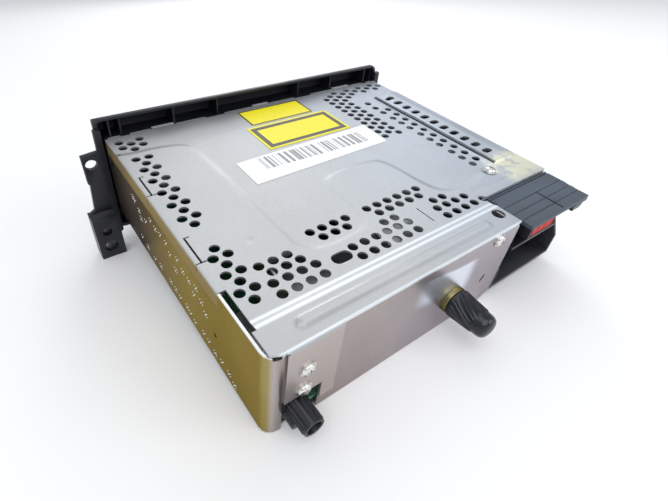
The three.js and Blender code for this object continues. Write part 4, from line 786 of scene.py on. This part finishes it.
def ventPlaces():
    vents = coverVents
    places = [onCase(share) for share in vents["cornerShares"]]
    for across, back, count in vents["rowShares"]:
        first = onCase((across, back))
        places += [first - Vector((vents["rowPitch"] * mm * i, 0, 0)) for i in range(count)]
    for first, pitch, rows, pairsOn in vents["edgeRunShares"]:
        for row in range(rows):
            sides = vents["edgePairShares"] if row % 2 == pairsOn else [vents["edgeMiddleShare"]]
            places += [onCase((across, first - pitch * row)) for across in sides]
    corner = onCase(vents["frontFirstShares"])
    columnPitch, ventPitch = [pitch * mm for pitch in vents["frontPitch"]]
    for column, (startRow, count) in enumerate(vents["frontColumns"]):
        for row in range(count):
            places.append(corner + Vector((-columnPitch * column, ventPitch * (row + startRow / 2), 0)))
    first = onCase(vents["tripletShares"])
    for vent in range(vents["tripletCount"] * 3):
        step = vents["tripletPitches"][0] * (vent // 3) + vents["tripletPitches"][1] * (vent % 3)
        places.append(first + Vector((0, step * mm, 0)))
    first = onCase(vents["hiddenShares"])
    places += [first + Vector((0, vents["hiddenPitch"] * mm * i, 0)) for i in range(vents["hiddenCount"])]
    return places


def cutVents(cover):
    vents = coverVents
    reach = (caseHigh.z - 4 * mm, caseHigh.z + 4 * mm)
    master = rodCutter(0, 0, vents["diameter"] / 2 * mm, reach, 20)
    drills = [copyOf(master, spot) for spot in ventPlaces()]
    bpy.data.objects.remove(master)
    for drill in drills:
        settlePlace(drill)
    cutAway(cover, joined(drills, "ventDrills"))
    across, back, *size = vents["oval"]
    holes = [(across, back + vents["ovalPitch"] * i, *size) for i in range(vents["ovalCount"])]
    drills = [rodCutter(fromLeft(across), fromRear(back), radius * mm, reach, sides, straight * mm)
              for across, back, radius, sides, straight in holes + vents["holes"]]
    cutAway(cover, joined(drills, "slotDrills"))


coverCuts = {
    # each from left to right and from rear to front, in mm from the rear left corner
    "boxes": [(158.1, 159.1, 36.6, 127.2), (93.5, 94.1, 20.3, 30.3), (-1.0, 1.9, 130.4, 131.9)],
    "fingers": [(93.6, 108.6), (47.1, 62.0)], "fingerWidth": 1.8, "fingerGap": 0.8, "fingerEnd": 2.4,
    "endHalf": 0.35, "rootHalf": 0.3,
}


def cutSlits(cover):
    cuts = coverCuts
    boxes = list(cuts["boxes"])
    inner, half = cuts["fingerWidth"], cuts["endHalf"]
    for rear, front in cuts["fingers"]:
        boxes.append((inner, inner + cuts["fingerGap"], rear, front))
        boxes += [(inner - 0.1, inner + cuts["fingerEnd"], end - half, end + half) for end in (front, rear)]
        boxes.append((-1.0, inner + 0.1, rear - cuts["rootHalf"], rear + cuts["rootHalf"]))
    for left, right, rear, front in boxes:
        cutAway(cover, boxBetween(leftSpan(left, right), rearSpan(rear, front),
                                  (caseHigh.z - 3 * mm, caseHigh.z + 4 * mm)))


def makeCover():
    shape = coverShape
    deselectAll()
    bpy.ops.mesh.primitive_grid_add(
        x_subdivisions=shape["cells"][0], y_subdivisions=shape["cells"][1], size=1, location=(0, 0, caseTop))
    bpy.ops.transform.resize(value=(caseSize.x, caseSize.y, 1))
    cover = added("top_cover_pressed")
    settlePlace(cover)
    startEditing(cover)
    # the notch for the connectors, and the left edge set in behind the flange
    notchX, notchY = fromRight(shape["notch"][0]), fromRear(shape["notch"][1])
    nearX, farX = leftSpan(*shape["leftInset"])
    nearY, farY = rearSpan(*shape["leftSteps"])
    alongX, alongY = Vector((1, 0, 0)), Vector((0, 1, 0))
    for axis, spots in ((alongX, [notchX]), (alongY, [notchY, nearY, farY]), (alongX, [nearX, farX])):
        for spot in spots:
            bpy.ops.mesh.select_all(action="SELECT")
            splitAt(axis * spot, axis)
    selectFaces(cover, lambda c, n: (c.x < notchX and c.y > notchY) or (c.y > nearY and c.x > nearX)
                or (farY < c.y < nearY and c.x > farX))
    bpy.ops.mesh.delete(type="FACE")
    # the rear left corner follows the case's rounded corner
    middle, radius = shape["cornerMiddle"], shape["cornerRadius"]
    for turn in shape["cornerTurns"]:
        away = Vector((math.cos(math.radians(turn)), math.sin(math.radians(turn)), 0))
        selectFaces(cover, lambda c, n: c.x > fromLeft(middle + 1) and c.y > fromRear(middle + 1))
        splitAt(Vector((fromLeft(middle), fromRear(middle), 0)) + away * radius * mm, away, True)
    # the front and rear edges are split where a tab, a tongue or the flap begins
    for share in [share for pair in shape["tabShares"] + shape["tongueShares"] for share in pair]:
        selectFaces(cover, lambda c, n: c.y < fromFront(shape["edgeCells"]))
        splitAt(onCase((share, 0)), alongX)
    for share in shape["flapShares"]:
        selectFaces(cover, lambda c, n: c.y > fromRear(shape["edgeCells"]))
        splitAt(onCase((share, 0)), alongX)
    stopEditing()
    pressCover(cover)
    startEditing(cover)
    high, drop = caseTop, shape["flangeDrop"] * mm
    bottom, clear = high - drop, high - drop + 2 * mm
    foldDown(cover, lambda v: v.x > fromLeft(0) - tiny and v.y < farY + tiny, drop, bottom)
    foldDown(cover, lambda v: v.x < fromRight(0) + tiny and v.y < notchY + tiny, drop, bottom)
    for kind in ("tab", "tongue"):
        for pair in shape[kind + "Shares"]:
            left, right = [onCase((share, 0)).x for share in pair]
            boundaryEdges(cover, lambda v: v.y < fromFront(0) + tiny and right - tiny < v.x < left + tiny
                          and v.z > clear)
            for forward, down in shape[kind + "Steps"]:
                extrudeBy((0, -forward * mm, -down * mm))
    rearEdge, rearDrop = fromRear(0) - tiny, shape["rearDrop"] * mm
    flapLeft, flapSplit, flapRight = [onCase((share, 0)).x for share in shape["flapShares"]]
    reach, end = [length * mm for length in shape["flapDrops"]]
    foldDown(cover, lambda v: v.y > rearEdge and flapRight - tiny < v.x < flapLeft + tiny and v.z > high,
             reach, high - reach, (0, shape["fold"] * mm, 0))
    foldDown(cover, lambda v: v.y > rearEdge and flapRight - tiny < v.x < flapSplit + tiny
             and v.z < high - reach + tiny, end - reach)
    foldDown(cover, lambda v: v.y > rearEdge and v.x < flapRight + tiny and v.z > high, rearDrop)
    foldDown(cover, lambda v: v.y > rearEdge and v.x > flapLeft - tiny and v.z > high, rearDrop)
    inNotch = notchX + tiny
    foldDown(cover, lambda v: v.x < inNotch and v.y > notchY - tiny and v.z > high - rearDrop, rearDrop)
    foldDown(cover, lambda v: v.x < inNotch and abs(v.y - notchY) < tiny and v.z > high - rearDrop, rearDrop)
    weldOutward()
    selectWhere(cover, "EDGE", lambda edge: len(edge.link_faces) == 2
                and edge.calc_face_angle(0) > math.radians(shape["bendAngle"]))
    bpy.ops.mesh.bevel(offset=shape["bend"] * mm, segments=shape["bendSteps"], clamp_overlap=True)
    stopEditing()
    sheet = cover.modifiers.new("sheet", "SOLIDIFY")
    sheet.thickness = shape["sheet"] * mm
    sheet.offset = -1
    applyModifiers(cover)
    cutVents(cover)
    cutSlits(cover)
    smoothByAngle(cover, shape["smoothAngle"])
    place(cover, "cover_steel", "root", ["top_cover"])
    print("top cover has", len(cover.data.polygons), "faces")


makeCover()


# Case body: the bent sheet of the node, with its smooth rear corner, small cuts and clinched rivets

wallDetails = {
    "edge": 0.12, "depth": 2.5,
    "slit": (9.3, 9.8, 7.9, 14.2), "loopHole": (113.5, 27.0, 1.7, 4.2), "loopTurn": 64,
    "sideNotch": (36.0, 18.0, 1.7),
    "rivetRows": [
        (31, 117), (30, 115), (27, 111), (23, 110), (26, 103), (32, 95), (31, 90), (32, 84), (32, 78),
        (28, 75), (23, 70.5), (32, 66.6), (29.5, 62), (29, 56.6), (24.6, 52.8), (31, 50), (27, 46), (23, 43),
        (8, 115), (7, 108), (6, 99), (7.5, 91.5), (7.6, 80), (7, 75), (6.4, 70), (7.3, 63), (6.5, 59.6),
        (4.8, 55.5), (6.8, 47), (6.7, 42.5), (5.2, 37.4), (6.4, 31.5), (5.8, 26), (3.4, 22),
    ],
    "rivetDots": [(0, 0), (1.1, 0.7), (-0.9, 0.9), (0.7, -1.1), (-1.0, -0.7)], "rivetRadius": 0.32,
    "rivetHeight": 0.3, "rivetRings": [(0.82, 0.5), (0.6, 0.35), (0.4, 0.15)],
}


def makeWalls():
    # The node's copy is welded first, then cut
    details = wallDetails
    walls = roundedCopy("chassis_body", details["edge"], 1, 60, 30)
    depth = details["depth"]
    through = (-depth * mm, depth * mm)
    left, right, high, low = details["slit"]
    cutAway(walls, boxBetween(leftSpan(left, right), rearSpan(depth, -depth),
                              (caseTop - high * mm, caseTop - low * mm)))
    across, down, width, height = details["loopHole"]
    hole = rodCutter(0, 0, width / 2 * mm, through, 20, (height - width) * mm)
    setDown(hole, (fromLeft(across), fromRear(0), caseTop - down * mm), 90, details["loopTurn"], 0)
    cutAway(walls, hole)
    back, up, radius = details["sideNotch"]
    notch = rodCutter(0, 0, radius * mm, through, 3)
    setDown(notch, (fromLeft(0), fromRear(back), up * mm), 0, 90, 0)
    cutAway(walls, notch)
    walls.modifiers.new("weights", "WEIGHTED_NORMAL").keep_sharp = True
    applyModifiers(walls)
    place(walls, "body_steel", "root", ["chassis_body"])


def makeRivets():
    # Each is a low dome: a disc raised ring by ring
    details = wallDetails
    dome = addDisc("dome", 10, details["rivetRadius"] * mm)
    for share, lift in details["rivetRings"]:
        extrudeBy((0, 0, details["rivetHeight"] * mm * lift))
        scaleBy(share, share)
    stopEditing()
    setDown(dome, (0, 0, 0), 0, 90, 0)
    dots = []
    for up, back in details["rivetRows"]:
        for y, z in details["rivetDots"][:4 + int(up) % 2]:
            dots.append(copyOf(dome, (fromLeft(-0.02), fromRear(back + y), (up + z) * mm)))
    bpy.data.objects.remove(dome)
    rivets = joined(dots, "wall_rivets")
    settlePlace(rivets)
    smoothByAngle(rivets, 50)
    place(rivets, "screw_zinc")


makeWalls()
makeRivets()
print("case walls are cut and riveted")


# Screws: a captive washer and a domed head with a cross recess, modelled once

screwShape = {
    "washer": 3.15, "washerHeight": 0.55, "washerRim": 0.12, "head": 2.65, "headHeight": 1.5,
    "headRings": [(1.0, 0.3), (0.95, 0.2), (0.84, 0.2), (0.66, 0.17), (0.4, 0.1), (0.15, 0.03)],
    "recess": 2.6, "recessWidth": 0.55, "recessDepth": 0.8, "seat": 1.6,
    "rearPlaces": {"rear_screw_1": (74.5, 32.4), "rear_screw_2": (75.1, 21.1), "rear_screw_3": (-23.6, 41.7)},
    "coverPlace": (-60.8, 41.55),
}


def makeScrews():
    shape = screwShape
    deselectAll()
    height = shape["washerHeight"] * mm
    bpy.ops.mesh.primitive_cylinder_add(vertices=40, radius=shape["washer"] * mm, depth=height,
                                        location=(0, 0, height / 2))
    screw = added("screw_master")
    settlePlace(screw)
    startEditing(screw)
    selectFaces(screw, lambda c, n: n.z > 0.9)
    bpy.ops.mesh.inset(thickness=shape["washerRim"] * mm)
    extrudeBy((0, 0, -shape["washerRim"] * mm))
    scaleBy(shape["head"] / shape["washer"], shape["head"] / shape["washer"])
    for share, lift in shape["headRings"]:
        extrudeBy((0, 0, shape["headHeight"] * mm * lift))
        ringAt(screw, shape["head"] * share * mm)
    stopEditing()
    top = height + shape["headHeight"] * mm
    length, width = shape["recess"] / 2 * mm, shape["recessWidth"] / 2 * mm
    for turn in (0, 90):
        bar = boxBetween((-length, length), (-width, width), (top - shape["recessDepth"] * mm, top + 1 * mm))
        setDown(bar, (0, 0, 0), 0, 0, turn)
        cutAway(screw, bar)
    seats = {name: ((x * mm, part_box(name)[1].y - shape["seat"] * mm, z * mm), -90)
             for name, (x, z) in shape["rearPlaces"].items()}
    x, y = shape["coverPlace"]
    seats["cover_screw"] = ((x * mm, y * mm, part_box("cover_screw")[1].z - shape["seat"] * mm), 0)
    for nodeName, (seat, turn) in seats.items():
        twin = copyOf(screw, seat)
        twin.name = nodeName + "_headed"
        setDown(twin, seat, turn, 0, 0)
        smoothByAngle(twin, 35)
        place(twin, "screw_zinc", "root", [nodeName])
    bpy.data.objects.remove(screw)


makeScrews()
print("screws are in")


# Rubber boot over the support stud: a tapered sleeve with twisted pairs of ridges and a smooth domed end

bootShape = {
    "points": 96, "start": 0.965, "collar": 0.05, "ridge": 1.055, "rings": 12, "twist": -3.2,
    "ridgedShare": 0.60, "taper": 0.13, "every": 8, "pair": (1, 4), "tip": 0.87,
    "tipRings": [(1.0, 0.12), (0.985, 0.30), (0.94, 0.22), (0.84, 0.15), (0.68, 0.10), (0.46, 0.06),
                 (0.22, 0.04), (0.06, 0.01)],
}


def makeBoot():
    shape = bootShape
    low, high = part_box("rubber_boot")
    radius, length = (high.x - low.x) / 2 * shape["start"], high.y - low.y
    boot = addDisc("rubber_boot_fluted", shape["points"], radius)
    extrudeBy((0, 0, length * shape["collar"]))
    pushSelected(boot, lambda index, v: shape["ridge"] if index % shape["every"] in shape["pair"] else 1)
    narrow = 1 - shape["taper"] / shape["rings"]
    for step in range(shape["rings"]):
        extrudeBy((0, 0, shape["ridgedShare"] * length / shape["rings"]))
        bpy.ops.transform.rotate(value=math.radians(shape["twist"]), center_override=(0, 0, 0))
        scaleBy(narrow, narrow)
    # the ridges run out, then the smooth tip turns over into a dome
    left = length * (1 - shape["collar"] - shape["ridgedShare"])
    for share, lift in shape["tipRings"]:
        extrudeBy((0, 0, left * lift))
        ringAt(boot, radius * shape["tip"] * share)
    weldOutward()
    stopEditing()
    setDown(boot, ((low.x + high.x) / 2, low.y, (low.z + high.z) / 2), -90, 0, 0)
    smoothByAngle(boot, 50)
    place(boot, "boot_rubber", "root", ["rubber_boot"])


makeBoot()
print("boot is moulded")


# Connector hood: grooved top, cross slot, stepped side and the hook under its rear corner

hoodShape = {
    "edge": 0.18, "past": 2,
    "grooves": [(11.0, 0.32, 0.35), (6.0, 0.32, 0.35), (1.3, 0.32, 0.35), (18.3, 0.7, 0.6)],
    "slot": (157.5, 156.5, 11.5, -2.7), "slotDepth": 0.9, "markDepth": 0.35,
    "marks": [(131.5, 128.1, 15.2, 14.85), (131.5, 131.1, 16.6, 15.2)],
    "steps": [(8.0, 0.54), (3.6, 0.84)], "stepsEnd": -9,
    "hook": (79.0, 90.2, 72.0, 78.6, 3.4), "hookThick": 1.4, "hookGap": 0.05, "hookInset": 0.6,
    "hookLean": 0.8, "hookTip": (0.72, 0.8), "hookEdge": 0.35,
}


def makeHood():
    shape = hoodShape
    hood = roundedCopy("connector_hood", shape["edge"], 2, 40, 30)
    low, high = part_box("connector_hood")
    past, above = shape["past"] * mm, high.z + 1 * mm
    cuts = []
    for back, width, depth in shape["grooves"]:
        cuts.append(((low.x - past, high.x + past), rearSpan(back - width / 2, back + width / 2),
                     (high.z - depth * mm, above)))
    depths = [shape["slotDepth"]] + [shape["markDepth"]] * len(shape["marks"])
    for (left, right, front, rear), depth in zip([shape["slot"]] + shape["marks"], depths):
        cuts.append((leftSpan(left, right), rearSpan(front, rear), (high.z - depth * mm, above)))
    for back, inset in shape["steps"]:
        cuts.append(((low.x - past, low.x + inset * mm), rearSpan(back, shape["stepsEnd"]),
                     (low.z - 1 * mm, above)))
    for box in cuts:
        cutAway(hood, boxBetween(*box))
    place(hood, "slate_plastic", "root", ["connector_hood"])
    # the hook: a tongue drawn back from under the hood and curled down
    near, far, front, rear, drop = [length * mm for length in shape["hook"]]
    top = low.z - shape["hookGap"] * mm
    hook = boxBetween((-far, -near), (front, rear), (top - shape["hookThick"] * mm, top), "hood_hook")
    startEditing(hook)
    selectFaces(hook, lambda c, n: n.z < -0.9)
    bpy.ops.mesh.inset(thickness=shape["hookInset"] * mm)
    extrudeBy((shape["hookLean"] * mm, 0, -drop))
    scaleBy(*shape["hookTip"], 1, (-(near + far) / 2, rear, low.z))
    stopEditing()
    bevelEdges(hook, shape["hookEdge"] * mm, 2, 30)
    smoothByAngle(hook, 40)
    place(hook, "dark_plastic")


makeHood()
print("hood is grooved")


# The red insert's catch: a panelled tongue that hangs in front of its plinth

tongueShape = {"drop": 1.9, "thick": 0.45, "gap": 0.04, "inset": 0.5, "sunk": 0.18, "edge": 0.12,
               "short": 0.3, "side": 0.2, "panelShares": (0.34, 0.68)}


def makeTongue():
    shape = tongueShape
    low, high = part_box("coding_insert")
    front, side = high.y + shape["gap"] * mm, shape["side"] * mm
    tongue = boxBetween((low.x + side, high.x - side), (front, front + shape["thick"] * mm),
                        (low.z - shape["drop"] * mm, high.z - shape["short"] * mm), "insert_tongue")
    startEditing(tongue)
    for share in shape["panelShares"]:
        bpy.ops.mesh.select_all(action="SELECT")
        splitAt((low.x + share * (high.x - low.x), 0, 0), (1, 0, 0))
    selectFaces(tongue, lambda c, n: n.y > 0.9)
    bpy.ops.mesh.inset(thickness=shape["inset"] * mm, use_individual=True)
    bpy.ops.transform.translate(value=(0, -shape["sunk"] * mm, 0))
    stopEditing()
    bevelEdges(tongue, shape["edge"] * mm, 2, 30)
    smoothByAngle(tongue, 40)
    place(tongue, "red_plastic")


makeTongue()
print("insert has its tongue")


# Volume knob: a knurled grip with a rounded face, a thumb dish and a pointer

knobShape = {
    "length": 11.7, "points": 96, "groove": 0.955, "every": 4, "skirt": 0.14, "skirtStep": 0.25, "grip": 0.92,
    "gripTaper": 0.97, "faceRings": [(0.96, 0.05), (0.93, 0.03)],
    "dish": 0.62 / 0.85, "dishDepth": 0.7, "dishRings": [(0.86, 0.55), (0.6, 0.35), (0.3, 0.1)],
    "pointerHalf": 0.5, "pointerShares": (0.62, 0.86), "pointerDepth": 0.35, "stem": (3, -6, 0.2),
}


def makeKnob():
    shape = knobShape
    low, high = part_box("volume_knob")
    radius, length = (high.x - low.x) / 2, shape["length"] * mm
    knob = addDisc("volume_knob_knurled", shape["points"], radius)
    extrudeBy((0, 0, length * shape["skirt"]))
    bpy.ops.mesh.inset(thickness=shape["skirtStep"] * mm)
    pushSelected(knob, lambda index, v: shape["groove"] if index % shape["every"] < 2 else 1)
    extrudeBy((0, 0, length * (shape["grip"] - shape["skirt"])))
    scaleBy(shape["gripTaper"], shape["gripTaper"])
    rings = [(share, length * lift) for share, lift in shape["faceRings"]] + [(shape["dish"], 0)]
    rings += [(share, -shape["dishDepth"] * mm * lift) for share, lift in shape["dishRings"]]
    for share, rise in rings:
        extrudeBy((0, 0, rise))
        scaleBy(share, share)
    stopEditing()
    half, (near, far) = shape["pointerHalf"] * mm, shape["pointerShares"]
    cutAway(knob, boxBetween((-half, half), (radius * near, radius * far),
                             (length - shape["pointerDepth"] * mm, length + 1 * mm)))
    stemRadius, stemEnd, stemStart = [value * mm for value in shape["stem"]]
    knob = joined([knob, rodCutter(0, 0, stemRadius, (stemEnd, stemStart), 32)], "volume_knob_knurled")
    setDown(knob, ((low.x + high.x) / 2, low.y + length, (low.z + high.z) / 2), 90, 0, 0)
    smoothByAngle(knob, 32)
    place(knob, "key_plastic", "volume_knob", ["volume_knob"])


makeKnob()
print("volume knob is knurled")


# Aerial plug: the node's block with moulding ribs along its tube

ribShape = {"axis": (77.0, 12.5), "radius": 4.12, "count": 14, "height": 0.28, "width": 0.55,
            "span": (70.5, 84.9), "crest": (0.45, 0.985), "edge": 0.08}


def makeAerialRibs():
    shape = ribShape
    x, z = [value * mm for value in shape["axis"]]
    start, end = [value * mm for value in shape["span"]]
    half, radius, height = shape["width"] / 2 * mm, shape["radius"] * mm, shape["height"] * mm
    rib = boxBetween((-half, half), (start, end), (radius - height, radius + height), "rib")
    startEditing(rib)
    selectFaces(rib, lambda c, n: n.z > 0.9)
    scaleBy(*shape["crest"], 1, (0, (start + end) / 2, 0))
    stopEditing()
    bevelEdges(rib, shape["edge"] * mm)
    ribs = [copyOf(rib, (x, 0, z)) for _ in range(shape["count"])]
    for index, twin in enumerate(ribs):
        setDown(twin, (x, 0, z), 0, 360 / shape["count"] * index, 0)
    bpy.data.objects.remove(rib)
    ribs = joined(ribs, "aerial_ribs")
    smoothByAngle(ribs, 40)
    place(ribs, "black_plastic")


makeAerialRibs()
print("aerial plug has its ribs")


# The camera stands where the photograph's lens was, worked out from the case's vents and edges

cameraView = {
    "eye": (0.12796, 0.13339, 0.15420), "target": (0.00649, -0.01420, -0.00692), "roll": 5.623,
    "lens": 23.505, "sensor": 36.0, "shift": (0.04124, -0.02488), "clip": (0.01, 20),
}


def makeCamera():
    view = cameraView
    lens = bpy.data.cameras.new("camera")
    lens.lens, lens.sensor_width = view["lens"], view["sensor"]
    lens.shift_x, lens.shift_y = view["shift"]
    lens.clip_start, lens.clip_end = view["clip"]
    camera = bpy.data.objects.new("camera", lens)
    bpy.context.scene.collection.objects.link(camera)
    eye = Vector(view["eye"])
    aim = Vector(view["target"]) - eye
    turn = aim.to_track_quat("-Z", "Y").to_matrix() @ Matrix.Rotation(math.radians(view["roll"]), 3, "Z")
    camera.matrix_world = Matrix.Translation(eye) @ turn.to_4x4()
    bpy.context.scene.camera = camera


# The player stands on its bracket feet and on the lower edge of its rear wall, so the floor slopes under it

floorLook = {"size": 12.0, "below": 0.1, "colour": (0.93, 0.93, 0.93), "roughness": 0.9, "specular": 0.1}


def makeFloor():
    bracketLow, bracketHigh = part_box("bracket_left")
    slope = (caseLow.z - bracketLow.z) / (caseHigh.y - bracketHigh.y)
    bpy.ops.mesh.primitive_grid_add(x_subdivisions=8, y_subdivisions=8, size=floorLook["size"])
    floor = added("studio_floor")
    setDown(floor, (0, caseHigh.y, caseLow.z - floorLook["below"] * mm), math.degrees(math.atan(slope)), 0, 0)
    material, tree, shader, coords = shaderTree("studio_floor")
    setInputs(shader, BaseColor=floorLook["colour"], Roughness=floorLook["roughness"])
    shader.inputs["Specular IOR Level"].default_value = floorLook["specular"]
    floor.data.materials.append(material)


# Each lamp is a square that faces the part

lamps = {
    "key": {"place": (0.5, 0.55, 1.5), "size": 1.4, "power": 11.0},
    "window": {"place": (-0.55, -0.75, 0.85), "size": 1.1, "power": 3.2},
    "low": {"place": (-0.7, -1.4, 0.35), "size": 0.55, "power": 3.0},
    "behind": {"place": (-0.8, 1.06, 0.97), "size": 0.9, "power": 6.0},
}


def makeLights():
    for name, lamp in lamps.items():
        data = bpy.data.lights.new(name, "AREA")
        data.energy = lamp["power"]
        data.size = lamp["size"]
        light = bpy.data.objects.new(name, data)
        bpy.context.scene.collection.objects.link(light)
        light.location = lamp["place"]
        light.rotation_euler = (-Vector(lamp["place"])).to_track_quat("-Z", "Y").to_euler()


roomLook = {"colour": (0.80, 0.82, 0.86), "strength": 0.75, "backdrop": (1, 1, 1)}


def makeWorld():
    # The room lights the part, and the camera sees a white backdrop
    world = bpy.data.worlds.new("studio")
    bpy.context.scene.world = world
    world.use_nodes = True
    tree = world.node_tree
    room = tree.nodes["Background"]
    setInputs(room, Color=roomLook["colour"], Strength=roomLook["strength"])
    backdrop = addNode(tree, "Background", Color=roomLook["backdrop"])
    mixed = addNode(tree, "MixShader", Fac=addNode(tree, "LightPath").outputs["Is Camera Ray"])
    feed(mixed.inputs[1], room.outputs[0])
    feed(mixed.inputs[2], backdrop.outputs[0])
    setInputs(tree.nodes["World Output"], Surface=mixed.outputs[0])
    bpy.context.scene.view_settings.view_transform = "Standard"


makeCamera()
makeFloor()
makeLights()
makeWorld()
print("studio is ready")
